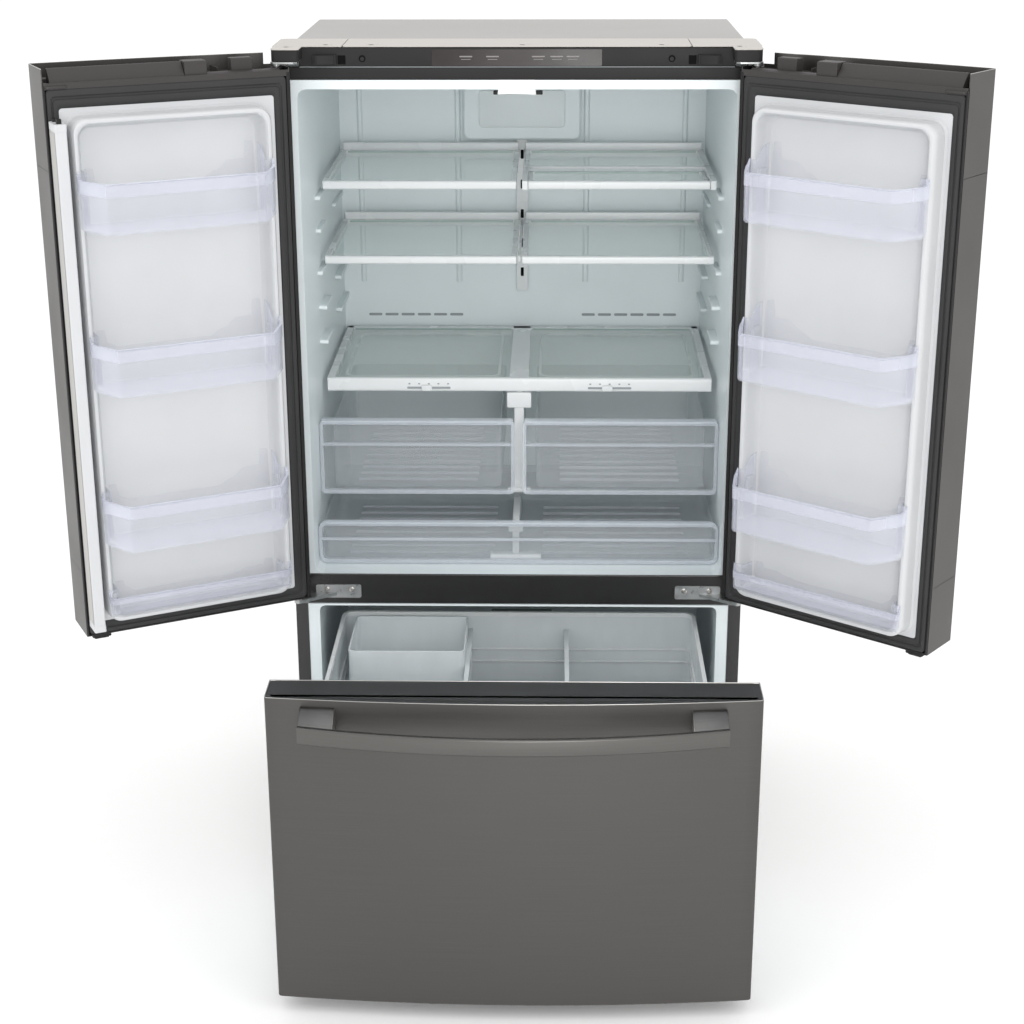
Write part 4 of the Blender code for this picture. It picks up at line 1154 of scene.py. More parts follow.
    def crisper(self, side: Side) -> None:
        """Clear crisper with a ribbed floor and a wide framed front.

        Args:
            side: Side it stands on.
        """
        word = side.word
        form = Form(side)
        self.tub(form, rounded((0.035, 0.383), (0.1370, 0.600), 0.016, 5), 0.8605, 1.000, 0.010)
        body = "crisper_" + word
        form.piece("crisper_tub_" + word, body, [DRAWER_CLEAR], 0.0, ["crisper_" + word])
        front = Form(side)
        outline = rounded((0.0082, 0.4083), (0.8525, 1.0098), 0.010, 4)
        front.plate(inset(outline, 0.004), (0.1285, 0.1310))
        hole = inset(outline, 0.0075)
        front.loft(
            [at_y(outline, 0.1252), at_y(outline, 0.1385), at_y(hole, 0.1385), at_y(hole, 0.1252)], 1, True
        )
        front.bar(rounded((0.1252, 0.1400), (0.9560, 0.9610), 0.002, 3), (0.012, 0.404), 1)
        front.bar(rounded((0.1252, 0.1520), (1.0010, 1.0095), 0.003, 3), (0.012, 0.404), 1)
        front.piece("crisper_front_" + word, body, [DRAWER_CLEAR, DRAWER_BAND], 0.0006)
        ribs = Form(side)
        for i in range(10):
            y = 0.185 + 0.040 * i
            ribs.bar(
                [(y - 0.004, 0.8634), (y + 0.004, 0.8634), (y + 0.0022, 0.8680), (y - 0.0022, 0.8680)],
                (0.085, 0.335)
            )
        ribs.piece("crisper_floor_ribs_" + word, body, [DRAWER_BAND])

    def deli(self) -> None:
        """Full-width shallow drawer with ribs and its sliding divider."""
        form = Form()
        self.tub(form, rounded((-0.400, 0.400), (0.0650, 0.460), 0.018, 5), 0.7262, 0.806, 0.014)
        form.piece("deli_tub", "deli_drawer", [DRAWER_CLEAR], 0.0, ["deli_drawer"])
        front = Form()
        outline = rounded((-0.4088, 0.4088), (0.7262, 0.8148), 0.016, 5)
        front.plate(inset(outline, 0.004), (0.0575, 0.0600))
        hole = inset(outline, 0.0070)
        front.loft(
            [at_y(outline, 0.0547), at_y(outline, 0.0665), at_y(hole, 0.0665), at_y(hole, 0.0547)], 1, True
        )
        front.bar(rounded((0.0547, 0.0640), (0.7750, 0.7800), 0.002, 3), (-0.402, 0.402), 1)
        front.bar(rounded((0.0547, 0.0740), (0.8065, 0.8146), 0.003, 3), (-0.395, 0.395), 1)
        front.piece("deli_front", "deli_drawer", [DRAWER_CLEAR, DRAWER_BAND], 0.0006)
        ribs = Form()
        for i in range(16):
            y = 0.110 + 0.040 * (i // 2)
            reach = ((0.050, 0.350), (-0.350, -0.050))[i % 2]
            ribs.bar(
                [(y - 0.004, 0.7290), (y + 0.004, 0.7290), (y + 0.0022, 0.7330), (y - 0.0022, 0.7330)], reach
            )
        ribs.piece("deli_floor_ribs", "deli_drawer", [DRAWER_BAND])
        divider = Form()
        divider.box((-0.012, 0.002), (0.075, 0.448), (0.7350, 0.8020))
        divider.bar(rounded((0.0685, 0.090), (0.7300, 0.7420), 0.003, 3), (-0.058, 0.047))
        divider.bar(rounded((0.0685, 0.084), (0.7900, 0.8055), 0.003, 3), (-0.020, 0.010))
        divider.piece("deli_divider", "deli_drawer", [SHELF_WHITE], 0.0015)


@dataclass(frozen=True)
class BinShape:
    """Sizes of one door bin.

    Attributes:
        bottom: Underside of the floor.
        band: Underside of the band along the front.
        front: Y of the front.
        cut: Corner cut at the front.
    """

    bottom: float
    band: float
    front: float
    cut: float


@dataclass
class Door:
    """One swinging door with everything that moves with it."""

    side: Side
    free: float = 0.0015
    half: float = 0.454
    bottom: float = 0.697
    top: float = 1.763
    back: float = -0.008
    middle: float = -0.104
    rise: float = 0.026
    floor: float = 1.735
    dam: tuple[Span, Span] = ((0.036, 0.402), (0.735, 1.681))
    hinge: Point2 = (0.4413, -0.0412)
    bins: tuple[BinShape, ...] = (
        BinShape(1.486, 1.553, 0.1148, 0.030),
        BinShape(1.192, 1.259, 0.1148, 0.030),
        BinShape(0.896, 0.963, 0.1148, 0.030),
        BinShape(0.752, 0.776, 0.0513, 0.004),
    )

    @property
    def body(self) -> str:
        """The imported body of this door."""
        return self.side.word + "_door"

    def build(self) -> None:
        """Make every piece of the door."""
        self.skin()
        self.cap()
        self.liner()
        self.gasket()
        for number, shape in enumerate(self.bins, 1):
            self.bin(number, shape)
        keep(self.body + "_handle", HANDLE_UPRIGHT, 0.0006)
        if self.side is Side.LEFT:
            self.mullion()

    def outline(self, distance: float = 0.0, steps: int = 24) -> Outline:
        """Footprint of the door slab.

        Args:
            distance: How far inside the skin.
            steps: Straight steps along the bowed front.

        Returns:
            The outline from the back hinge corner round the free edge to the front.
        """
        edge = 0.006
        points = [(self.half, self.back), (self.free, self.back)]
        points.append((self.free, self.middle + 0.003))
        start, end = self.free + 0.003, self.half - edge
        for i in range(steps + 1):
            x = start + (end - start) * i / steps
            points.append((x, self.bow(x)))
        points += arc((self.half - edge, self.bow(self.half) + edge), edge, -70.0, 0.0, 3)
        moved = inset(points, distance) if distance else points
        return [(moved[0][0], self.back), (moved[1][0], self.back)] + moved[2:]

    def bow(self, x: float) -> float:
        """Y of the front at this distance from the middle plane."""
        return self.middle + self.rise * (x / self.half) ** 2

    def wrap(self, thick: float, whole: bool, ease: float = 0.0) -> Outline:
        """Footprint of the folded sheet: free side, bowed front and hinge side, open at the back.

        Args:
            thick: Thickness of the sheet.
            whole: True to take in the hinge side, False to stop short of it.
            ease: How far inside the skin it starts.

        Returns:
            The outline, out along the outside and back along the inside.
        """
        outer, inner = self.outline(ease), self.outline(ease + thick)
        if whole:
            return folded(outer, inner, self.back)
        stop = -HINGE_SIDE_POINTS
        return outer[1:stop] + inner[stop - 1:1:-1] + [(inner[1][0], self.back)]

    def skin(self) -> None:
        """Bowed steel skin, folded in at the back, with a painted highlight along its top edge."""
        form = Form(self.side)
        split, crest = 1.742, self.top - 0.0008
        form.slab(self.wrap(0.0016, True), (self.bottom + 0.0010, split))
        form.slab(self.wrap(0.0016, False), (split, crest))
        # The thin top band takes the bright steel: a painted highlight along the skin's top edge.
        form.slab(self.wrap(0.0014, False, 0.0001), (crest, self.top - 0.0001), 1)
        form.slab(self.outline(0.0008), (self.bottom, self.bottom + 0.0016))
        for z in (0.8300, 1.5850):
            form.box(
                (self.free, self.free + 0.0006), (-0.098, self.back - 0.001), (z - 0.0006, z + 0.0006), 2
            )
        form.piece(
            self.body + "_skin", self.body, [STEEL, BRIGHT_STEEL_AND_HIGHLIGHT, DARK_PLASTIC], 0.0,
            [self.body + "_panel"]
        )
        trim = Form(self.side)
        trim.box((self.free + 0.0005, 0.0052), (self.back - 0.0002, self.back + 0.0052), (0.700, 1.7345))
        trim.box((0.4462, self.half - 0.0005), (self.back - 0.0002, self.back + 0.0052), (0.700, 1.7345))
        trim.box((0.0052, 0.4462), (self.back - 0.0002, self.back + 0.0040), (0.6985, 0.7020))
        trim.piece(self.body + "_edge_trim", self.body, [DARK_PLASTIC], 0.0008)
        foot = Form(self.side)
        foot.slab(rounded((0.014, 0.050), (-0.034, -0.012), 0.004, 4), (0.6895, 0.6975))
        foot.slab(rounded((0.018, 0.046), (-0.030, -0.016), 0.003, 4), (0.6860, 0.6900))
        foot.slab(circle(self.hinge, 0.0125), (0.6885, 0.6972))
        foot.piece(self.body + "_lower_fittings", self.body, [DARK_PLASTIC], 0.0008)

    def cap(self) -> None:
        """Moulded top cap: trough floor, rear ridge with its ramp, lugs and the free corner tab."""
        form = Form(self.side)
        form.slab(self.outline(0.0018), (self.floor - 0.003, self.floor))
        form.box((self.free + 0.002, 0.4515), (-0.0086, -0.0030), (1.7270, 1.7385))
        form.slab(rounded((0.0060, 0.0440), (-0.0086, -0.0006), 0.003, 3), (1.7290, 1.7335))
        ridge = [
            (-0.0085, 1.7345), (-0.0100, 1.7400), (-0.0255, 1.7600), (-0.0280, 1.7615), (-0.0318, 1.7615),
            (-0.0335, 1.7595), (-0.0345, 1.7345)
        ]
        form.loft([at_x(ridge, self.free + 0.0140), at_x(ridge, 0.2575)])
        form.bar(
            [(-0.0085, 1.7345), (-0.0300, 1.7610), (-0.0320, 1.7610), (-0.0320, 1.7345)],
            (self.free + 0.0022, self.free + 0.0036)
        )
        wide = [
            (-0.0085, 1.7345), (-0.0090, 1.7600), (-0.0110, 1.7625), (-0.0400, 1.7625), (-0.0425, 1.7600),
            (-0.0430, 1.7345)
        ]
        form.loft([at_x(wide, 0.2580), at_x(wide, 0.2990)])
        small = [
            (-0.0250, 1.7345), (-0.0255, 1.7600), (-0.0275, 1.7620), (-0.0450, 1.7620), (-0.0470, 1.7600),
            (-0.0475, 1.7345)
        ]
        form.loft([at_x(small, 0.3500), at_x(small, 0.3900)])
        low = [(-0.0085, 1.7345), (-0.0085, 1.7390), (-0.0130, 1.7405), (-0.0240, 1.7405), (-0.0260, 1.7345)]
        form.loft([at_x(low, 0.2990), at_x(low, 0.4360)])
        form.slab(rounded((0.006, 0.040), (-0.074, -0.050), 0.004, 4), (self.floor, self.floor + 0.006))
        for x in (0.090, 0.180, 0.330):
            y = self.bow(x) + 0.003
            form.box(
                (x - 0.001, x + 0.001), (y, -0.034 if x < 0.25 else -0.045), (self.floor, self.floor + 0.010)
            )
        boss = circle(self.hinge, 0.0110, 28)
        hole = circle(self.hinge, 0.0066, 28)
        form.loft(
            [
                at_z(boss, self.floor), at_z(boss, self.floor + 0.005), at_z(hole, self.floor + 0.005),
                at_z(hole, self.floor)
            ],
            0, True
        )
        form.piece(self.body + "_top_cap", self.body, [CAP_PLASTIC], 0.0012)

    def liner(self) -> None:
        """Vacuum-formed inner wall: flange, raised dam with soft edges, and the bin rests."""
        form = Form(self.side)
        (x0, x1), (z0, z1) = self.dam
        flange = rounded((0.0266, 0.4204), (0.7266, 1.6944), 0.0055, 7)
        levels = (
            (0.0450, -0.0010), (0.0300, -0.0020), (0.0225, -0.0005), (0.0185, 0.0040), (0.0155, 0.0140), (0.0130, 0.0300),
            (0.0115, 0.0365), (0.0090, 0.0392), (0.0062, 0.0398), (0.0035, 0.0388), (0.0012, 0.0350), (0.0002, 0.0250), (0.0, 0.0020),
        )
        rings = []
        for distance, y in levels:
            wall = rounded(
                (x0 + distance, x1 - distance), (z0 + distance, z1 - distance), 0.026 - 0.3 * distance, 7
            )
            rings.append(at_y(wall, y))
        skirt = rounded((x0 - 0.0035, x1 + 0.0035), (z0 - 0.0035, z1 + 0.0035), 0.028, 7)
        rings += [at_y(skirt, -0.0030), at_y(flange, -0.0034), at_y(flange, self.back + 0.0002)]
        form.loft(rings)
        for shape in self.bins:
            for low, high, depth in ((0.0490, 0.0550, 0.030), (0.3835, 0.3895, 0.030)):
                z = shape.band + 0.004
                form.loft(
                    [
                        at_y(
                            rounded((low, high), (z - 0.014, z + 0.012), 0.0028, 3), y
                        ) for y in (-0.001, depth)
                    ]
                )
        form.piece(
            self.body + "_inner_wall", self.body, [DOOR_WHITE], 0.0,
            [self.body + "_liner"]
        )

    def gasket(self) -> None:
        """Folded magnetic gasket with its groove and face lip."""
        outer = rounded((0.0062, 0.4455), (0.7027, 1.7278), 0.008, 5)
        inner = rounded((0.0270, 0.4200), (0.7270, 1.6940), 0.006, 5)
        fold = ((0.0, -0.0076), (0.0, -0.0040), (0.06, -0.0018), (0.20, -0.0010), (0.34, -0.0011), (0.42, -0.0034), (0.50, -0.0036),
                (0.56, -0.0014), (0.74, -0.0009), (0.90, -0.0018), (1.0, -0.0046), (1.0, -0.0076))
        form = Form(self.side)
        form.loft([at_y(between(outer, inner, share), y) for share, y in fold], 0, True)
        form.piece(
            self.body + "_gasket_fold", self.body, [RUBBER], 0.0, [self.body + "_gasket"]
        )

    def bin(self, number: int, shape: BinShape) -> None:
        """Clear bin: thin walls, a thicker band along the rim and raised ears at the back.

        Args:
            number: Its place from the top.
            shape: Its sizes.
        """
        low_bin = number == len(self.bins)
        rim = shape.band + (0.010 if low_bin else 0.022)
        side_rise = 0.017 if low_bin else 0.012
        ear = 0.014 if low_bin else 0.042
        form = Form(self.side)
        step, back = 0.0412, -0.0042
        front, cut = shape.front, shape.cut
        near, far = 0.4000, 0.0382
        path = [
            (
                0.0532, back, rim + side_rise
            ), (0.0760, back, rim + side_rise), (0.0980, back, rim), (0.2700, back, rim),
            (0.2980, back, rim + 0.4 * ear), (
                0.3250, back, rim + ear * 0.95
            ), (0.3553, back, rim + ear), (0.3853, back, rim + ear * 0.95),
            (0.3853, 0.0200, rim + ear * 0.80), (
                0.3853, step - 0.001, rim + side_rise
            ), (near, step, rim + side_rise),
            (near, front - 2.2 * cut, rim + 0.002), (near - 0.10 * cut, front - 1.9 * cut, rim), (
                near - 1.10 * cut, front - 0.16 * cut, rim
            ),
            (near - 1.25 * cut, front, rim), (0.300, front, rim), (0.219, front, rim), (0.140, front, rim),
            (far + 1.15 * cut, front, rim), (
                far + 0.98 * cut, front - 0.16 * cut, rim
            ), (far + 0.08 * cut, front - 1.9 * cut, rim),
            (far, front - 2.2 * cut, rim + 0.002), (far, step, rim + side_rise), (
                0.0532, step - 0.001, rim + side_rise
            ), (0.0532, 0.0200, rim + side_rise),
        ]
        flat: Outline = [(x, y) for x, y, _ in path]
        tops = [z for _, _, z in path]
        outer, inner = inset(flat, 0.0006), inset(flat, 0.0030)
        foot = inset(flat, 0.0045)
        rings = [at_z(foot, shape.bottom), at_z(inset(flat, 0.0015), shape.bottom + 0.004)]
        rings.append([(x, y, z) for (x, y), z in zip(outer, tops)])
        rings.append([(x, y, z) for (x, y), z in zip(inner, tops)])
        rings += [
            at_z(inset(flat, 0.0038), shape.bottom + 0.007), at_z(inset(flat, 0.0066), shape.bottom + 0.0028)
        ]
        form.loft(rings)
        form.piece(
            f"{self.body}_bin_walls_{number}", self.body, [BIN_CLEAR], 0.0,
            [f"{self.side.word}_bin_{number}"]
        )
        band = Form(self.side)
        start, end = 10, 22
        ribbon = list(range(start, end + 1))
        lift = [0.004 if tops[i] > rim + 0.005 else 0.0 for i in ribbon]
        skin, core = flat, inset(flat, 0.0026)
        rows = []
        for i, up in zip(ribbon, lift):
            (ox, oy), (ix, iy) = skin[i], core[i]
            low, high = shape.band + up, tops[i] + 0.0004
            rows.append([(ox, oy, low), (ox, oy, high), (ix, iy, high), (ix, iy, low)])
        band.loft(rows)
        rows = []
        for i in ribbon:
            (ox, oy), (ix, iy) = flat[i], inset(flat, 0.0050)[i]
            rows.append(
                [
                    (ox, oy, tops[i] - 0.0022), (ox, oy, tops[i] + 0.0012), (ix, iy, tops[i] + 0.0012),
                    (ix, iy, tops[i] - 0.0022)
                ]
            )
        band.loft(rows)
        band.piece(f"{self.body}_bin_band_{number}", self.body, [BIN_BAND])

    def mullion(self) -> None:
        """Flip mullion: white body, end caps and the steel strip that the gaskets meet."""
        form = Form()
        low, high = 0.727, 1.675
        x, y, r = -0.015, 0.012, 0.0108
        outline = arc((x, y), r, 90.0, 270.0, 8) + [
            (0.0240, y - r), (0.0258, y - r + 0.0018), (0.0258, y + r - 0.0018), (0.0240, y + r)
        ]
        form.slab(inset(outline, 0.0006), (low + 0.012, high - 0.012))
        form.slab(outline, (low, low + 0.0125))
        form.slab(outline, (high - 0.0125, high))
        form.box((-0.0150, 0.0200), (0.0011, 0.0016), (low + 0.015, high - 0.015), 1)
        form.slab(circle((x, y), 0.0050), (high - 0.001, high + 0.0045), 2)
        form.box((0.008, 0.018), (0.008, 0.016), (high - 0.001, high + 0.0080), 2)
        form.piece(
            "flip_mullion_bar", "flip_mullion", [DOOR_WHITE, BRIGHT_STEEL_AND_HIGHLIGHT, DARK_PLASTIC],
            0.0010, ["flip_mullion"]
        )


@dataclass
class FreezerDrawer:
    """Pull-out freezer drawer, its slides, basket and tray, and the space it runs in."""

    half: float = 0.454
    bottom: float = 0.034
    top: float = 0.666
    back: float = -0.006
    middle: float = -0.109
    rise: float = 0.025
    basket_half: float = 0.365
    basket_y: Span = (0.030, 0.485)
    basket_z: Span = (0.130, 0.600)

    def build(self) -> None:
        """Make every piece of the drawer and of the space behind it."""
        keep("freezer_liner", LINER_WHITE, 0.0030)
        self.space()
        self.front()
        self.handle()
        self.frame()
        self.basket()
        self.tray()

    def bow(self, x: float) -> float:
        """Y of the front at this distance from the middle plane."""
        return self.middle + self.rise * (x / self.half) ** 2

    def outline(self, distance: float = 0.0) -> Outline:
        """Footprint of the drawer's front slab, moved inwards by a distance."""
        edge, steps = 0.006, 40
        points = [(self.half, self.back), (-self.half, self.back)]
        points += arc((-self.half + edge, self.bow(self.half) + edge), edge, 180.0, 250.0, 3)
        for i in range(steps + 1):
            x = (self.half - edge) * (2 * i / steps - 1)
            points.append((x, self.bow(x)))
        points += arc((self.half - edge, self.bow(self.half) + edge), edge, -70.0, 0.0, 3)
        return inset(points, distance) if distance else points

    def front(self) -> None:
        """Steel skin with a painted highlight along its top edge, the dark cap, the inner wall and the
        gasket.
        """
        form = Form()
        outer, inner = self.outline(), self.outline(0.0022)
        high = self.top - 0.0008
        form.slab(folded(outer, inner, self.back), (self.bottom + 0.0010, high))
        form.slab(self.outline(0.0008), (self.bottom, self.bottom + 0.0016))
        # The rolled top takes the bright steel: a painted highlight along the skin's top edge.
        form.loft(
            [
                at_z(outer, high), at_z(self.outline(0.0004), self.top),
                at_z(self.outline(0.0018), self.top), at_z(inner, high)
            ],
            1, True
        )
        form.piece(
            "freezer_drawer_skin", "freezer_drawer", [STEEL, BRIGHT_STEEL_AND_HIGHLIGHT], 0.0,
            ["freezer_drawer_panel"]
        )
        cap = Form()
        cap.slab(self.outline(0.0023), (self.top - 0.0040, self.top - 0.0012))
        cap.slab(inset(self.outline(0.0023), 0.012), (self.top - 0.0012, self.top - 0.0006))
        cap.piece("freezer_drawer_top_cap", "freezer_drawer", [DRAWER_CAP], 0.0004)
        wall = Form()
        flange = rounded((-0.4255, 0.4255), (0.0795, 0.6405), 0.024)
        levels = (
            (0.0200, -0.0006), (0.0160, -0.0006), (0.0120, -0.0012), (0.0110, -0.0030), (0.0, -0.0034),
            (0.0, self.back + 0.0002)
        )
        wall.loft([at_y(inset(flange, distance), y) for distance, y in levels])
        wall.piece(
            "freezer_drawer_inner_wall", "freezer_drawer", [DOOR_WHITE], 0.0,
            ["freezer_drawer_liner"]
        )
        outer_ring = rounded((-0.4495, 0.4495), (0.055, 0.6630), 0.008, 5)
        inner_ring = rounded((-0.4250, 0.4250), (0.080, 0.6400), 0.006, 5)
        fold = (
            (0.0, -0.0056), (0.0, -0.0036), (0.08, -0.0014), (0.30, -0.0009), (0.40, -0.0030),
            (0.50, -0.0030), (0.60, -0.0010), (0.90, -0.0014), (1.0, -0.0036), (1.0, -0.0056)
        )
        gasket = Form()
        gasket.loft([at_y(between(outer_ring, inner_ring, share), y) for share, y in fold], 0, True)
        gasket.piece(
            "freezer_drawer_gasket_fold", "freezer_drawer", [RUBBER], 0.0,
            ["freezer_drawer_gasket"]
        )

    def handle(self) -> None:
        """Bowed bar with eased edges on two sloped end brackets."""
        form = Form()
        half, low, high, steps = 0.389, 0.599, 0.632, 40
        rings = []
        for i in range(steps + 1):
            x = half * (2 * i / steps - 1)
            front = -0.140 - 0.045 * (1 - (x / half) ** 2)
            rings.append(at_x(rounded((front, front + 0.012), (low, high), 0.0035, 4), x))
        form.loft(rings)
        for side in Side:
            s = side.value
            slope = []
            for x, lift in ((0.3245, 0.0), (0.3275, 0.0012), (0.3860, 0.0012), (0.3880, 0.0)):
                face = self.bow(x) - 0.0004
                bar = -0.140 - 0.045 * (1 - (x / half) ** 2) + 0.008
                slope.append([(s * x, face, low + 0.002), (s * x, face, high + 0.018 + lift), (s * x, face - 0.010, high + 0.017 + lift),
                              (s * x, bar + 0.006, high + 0.001 + lift), (s * x, bar, high - 0.002), (s * x, bar, low + 0.004)])
            form.loft(slope, 1)
            # A thin sliver of bright steel along each bracket's front profile: a painted highlight on its
            # edge.
            edge = [
                [
                    (px + s * shift, py - 0.0002, pz + 0.0002) for px, py, pz in slope[0]
                ] for shift in (-0.0006, 0.0008)
            ]
            form.loft(edge, 2)
        form.piece(
            "freezer_drawer_handle_bar", "freezer_drawer", [HANDLE_STEEL, BRACKET_STEEL, BRIGHT_STEEL_AND_HIGHLIGHT],
            0.0008, ["freezer_drawer_handle"], 3
        )

    def frame(self) -> None:
        """Inner frame with its arms, and the zinc slides with their fixed rails."""
        form = Form()
        ring = rounded((-0.383, 0.383), (0.110, 0.635), 0.012)
        hole = inset(ring, 0.030)
        form.loft([at_y(ring, 0.0026), at_y(ring, 0.0118), at_y(hole, 0.0118), at_y(hole, 0.0026)], 0, True)
        for side in Side:
            s = side.value
            form.box(tuple(sorted((s * 0.371, s * 0.3825))), (0.006, 0.450), (0.300, 0.330))
            form.box(tuple(sorted((s * 0.366, s * 0.371))), (0.020, 0.445), (0.322, 0.330))
        form.piece(
            "freezer_drawer_cradle", "freezer_drawer", [SHELF_WHITE], 0.0010,
            ["freezer_drawer_frame"]
        )
        for side in Side:
            word = side.word
            slide = Form(side)
            channel = [
                (0.3842, 0.3025), (0.3926, 0.3025), (0.3926, 0.3048), (0.3864, 0.3048), (0.3864, 0.3252),
                (0.3926, 0.3252), (0.3926, 0.3275), (0.3842, 0.3275)
            ]
            slide.loft([[(x, y, z) for x, z in channel] for y in (0.012, 0.450)])
            slide.piece(
                "slide_channel_" + word, "slide_middle_" + word, [ZINC], 0.0004,
                ["slide_middle_" + word]
            )
            rail = Form(side)
            rail.box((0.3940, 0.4050), (0.020, 0.470), (0.2990, 0.3025))
            rail.box((0.3940, 0.4050), (0.020, 0.470), (0.3275, 0.3310))
            rail.box((0.4020, 0.4054), (0.020, 0.470), (0.3000, 0.3300))
            rail.piece("slide_fixed_rail_" + word, "cabinet", [ZINC], 0.0004)

    def space(self) -> None:
        """Evaporator cover with its louvres and the fan grille behind the basket."""
        form = Form()
        outline = rounded((-0.330, 0.330), (0.300, 0.648), 0.014)
        form.loft([at_y(inset(outline, 0.004), 0.4955), at_y(outline, 0.4970), at_y(outline, 0.4998)])
        # The louvres and the fan grille slots are flat grey plates: painted shade in the openings.
        for side in Side:
            for i in range(5):
                x = side.value * (0.060 + 0.050 * i)
                form.plate(rounded((x - 0.018, x + 0.018), (0.6180, 0.6250), 0.003, 3), (0.4948, 0.4960), 1)
        for i in range(6):
            form.plate(
                rounded((-0.070, 0.070), (0.420 + 0.016 * i, 0.427 + 0.016 * i), 0.003, 3), (0.4948, 0.4960),
                1
            )
        form.piece("evaporator_cover", "cabinet", [LINER_WHITE, SLOT_SHADE_AND_MARK_GREY], 0.0010)

    def basket(self) -> None:
        """Deep basket with a rolled rim, ribs and its two dividers."""
        form = Form()
        outline = rounded((-self.basket_half, self.basket_half), self.basket_y, 0.020, 5)
        low, high = self.basket_z
        inner = inset(outline, 0.003)
        rings = [
            at_z(inset(outline, 0.010), low), at_z(inset(outline, 0.003), low + 0.004),
            at_z(outline, low + 0.014), at_z(outline, high - 0.0005)
        ]
        rings += [
            at_z(inner, high - 0.0005), at_z(inner, low + 0.016), at_z(inset(inner, 0.006), low + 0.006),
            at_z(inset(inner, 0.014), low + 0.003)
        ]
        form.loft(rings)
        form.piece(
            "freezer_basket_tub", "freezer_drawer", [BASKET_CLEAR], 0.0, ["freezer_basket"]
        )
        rim = Form()
        lip, lip_in = inset(outline, -0.0045), inset(outline, 0.0035)
        rim.loft(
            [
                at_z(lip, high - 0.009), at_z(lip, high - 0.0008), at_z(inset(lip, 0.001), high),
                at_z(lip_in, high), at_z(lip_in, high - 0.009)
            ],
            0, True
        )
        for z in (0.4880, 0.5160):
            ledge = inset(outline, 0.0028)
            rim.loft(
                [
                    at_z(ledge, z), at_z(ledge, z + 0.003), at_z(inset(ledge, 0.0035), z + 0.003),
                    at_z(inset(ledge, 0.0035), z)
                ],
                0, True
            )
        rim.piece("freezer_basket_rim", "freezer_drawer", [SHELF_WHITE], 0.0005)
        for side in Side:
            x = side.value * 0.100
            divider = Form()
            divider.box((x - 0.0013, x + 0.0013), (0.0335, 0.4815), (0.1335, 0.5600))
            divider.bar(rounded((0.0335, 0.4815), (0.5560, 0.5640), 0.003, 2), (x - 0.0045, x + 0.0045))
            for i in range(5):
                y = 0.080 + 0.090 * i
                divider.box((x - 0.0025, x + 0.0025), (y, y + 0.004), (0.140, 0.556))
            divider.piece(
                "basket_divider_" + side.word, "freezer_drawer", [BASKET_CLEAR], 0.0004
            )

    def tray(self) -> None:
        """Small tray that slides along the top of the left bay."""
        form = Form()
        outline = rounded((-0.3395, -0.1045), (0.2855, 0.4695), 0.012, 5)
        inner = inset(outline, 0.0030)
        rings = [
            at_z(inset(outline, 0.006), 0.5005), at_z(outline, 0.5065), at_z(outline, 0.5960),
            at_z(inner, 0.5960), at_z(inner, 0.5085), at_z(inset(inner, 0.006), 0.5035)
        ]
        form.loft(rings)
        for i in range(7):
            x = -0.318 + 0.032 * i
            form.box((x - 0.001, x + 0.001), (0.2990, 0.4560), (0.5030, 0.5060))
        form.piece(
            "freezer_tray_tub", "freezer_tray", [BASKET_CLEAR], 0.0005, ["freezer_tray"]
        )


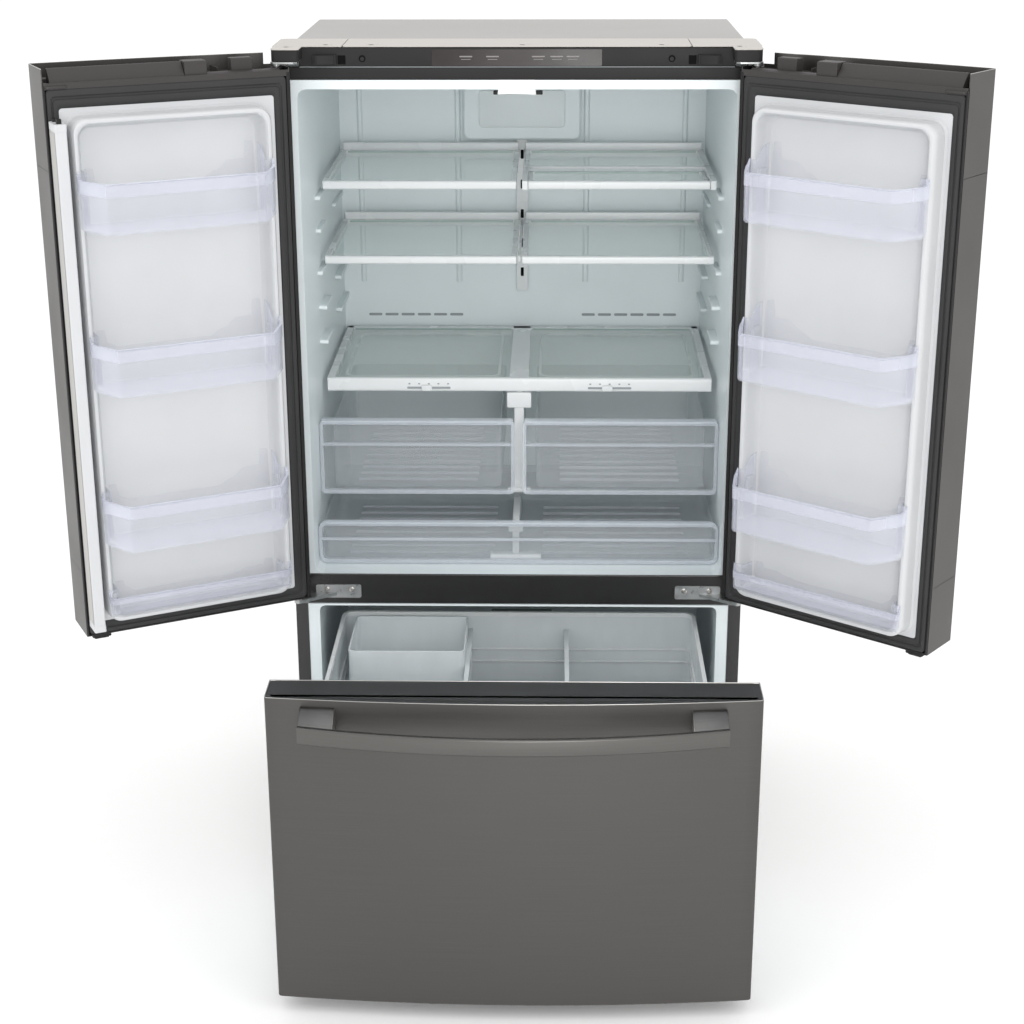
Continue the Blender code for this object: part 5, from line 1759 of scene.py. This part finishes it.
@dataclass
class Studio:
    """Plain pale floor, soft studio light and the camera."""

    eye: Point3 = (0.080052, -3.75475, 2.1661)
    turn_deg: Point3 = (70.3592, 1.2097, -0.1632)
    lens: float = 68.16
    floor_half: float = 14.0
    sky: float = 1.08
    lights: tuple[tuple[str, Point3, Point2, float], ...] = field(
        default=(
            ("key_softbox", (-3.3, -2.4, 2.6), (2.0, 2.2), 14.0),
            ("fill_softbox", (3.3, -2.4, 2.6), (2.0, 2.2), 14.0),
            ("front_softbox", (0.42, -5.2, 1.9), (1.0, 2.6), 62.0),
            ("top_softbox", (0.0, -0.6, 4.2), (3.4, 2.4), 10.0),
        )
    )

    def build(self) -> None:
        """Make the floor, the lights, the sky and the camera."""
        self.ground()
        self.air()
        for name, place, size, power in self.lights:
            self.light(name, place, size, power)
        self.camera()

    def ground(self) -> None:
        """One wide pale floor with a faint texture."""
        half = self.floor_half
        data = bpy.data.meshes.new("studio_floor")
        data.from_pydata(
            [(-half, -half, 0.0), (half, -half, 0.0), (half, half, 0.0), (-half, half, 0.0)], [],
            [(0, 1, 2, 3)]
        )
        data.materials.append(
            Finish(
                "studio_floor_pale", (0.995, 0.995, 0.995), 0.7, specular=0.1, change=0.004, texture=60.0
            ).material()
        )
        floor = bpy.data.objects.new("studio_floor", data)
        bpy.context.scene.collection.objects.link(floor)
        floor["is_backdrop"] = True

    def air(self) -> None:
        """Even white surroundings and a plain view transform."""
        world = bpy.data.worlds.new("studio_air")
        world.use_nodes = True
        shade = world.node_tree.nodes["Background"]
        shade.inputs["Color"].default_value = (1.0, 1.0, 1.0, 1.0)
        shade.inputs["Strength"].default_value = self.sky
        scene = bpy.context.scene
        scene.world = world
        scene.view_settings.view_transform = "Standard"

    def light(self, name: str, place: Point3, size: Point2, power: float) -> None:
        """One soft rectangular light aimed at the middle of the refrigerator.

        Args:
            name: Its name.
            place: Where it hangs.
            size: Its width and height.
            power: Its power in watts.
        """
        data = bpy.data.lights.new(name, "AREA")
        data.shape = "RECTANGLE"
        data.size, data.size_y = size
        data.energy = power
        lamp = bpy.data.objects.new(name, data)
        lamp.location = place
        aim = Vector((0.0, -0.2, 0.9)) - Vector(place)
        lamp.rotation_mode = "QUATERNION"
        lamp.rotation_quaternion = aim.to_track_quat("-Z", "Y")
        bpy.context.scene.collection.objects.link(lamp)

    def camera(self) -> None:
        """Camera at eye height, looking slightly down."""
        data = bpy.data.cameras.new("camera")
        data.lens = self.lens
        data.sensor_width = 36.0
        camera = bpy.data.objects.new("camera", data)
        tilt, pan, roll = (math.radians(angle) for angle in self.turn_deg)
        turn = Matrix.Rotation(pan, 4, "Z") @ Matrix.Rotation(tilt, 4, "X") @ Matrix.Rotation(roll, 4, "Z")
        camera.matrix_world = Matrix.Translation(self.eye) @ turn
        bpy.context.scene.collection.objects.link(camera)
        bpy.context.scene.camera = camera


def main() -> None:
    """Build the refrigerator and the studio."""
    logging.basicConfig(level=logging.INFO, format="%(name)s: %(message)s")
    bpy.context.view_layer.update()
    for part in (Case(), FreshFood(), Door(Side.LEFT), Door(Side.RIGHT), FreezerDrawer(), Studio()):
        count = len(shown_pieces())
        part.build()
        log.info("%s: %d pieces shown, %d before it", type(part).__name__, len(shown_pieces()), count)


if __name__ == "__main__":
    main()
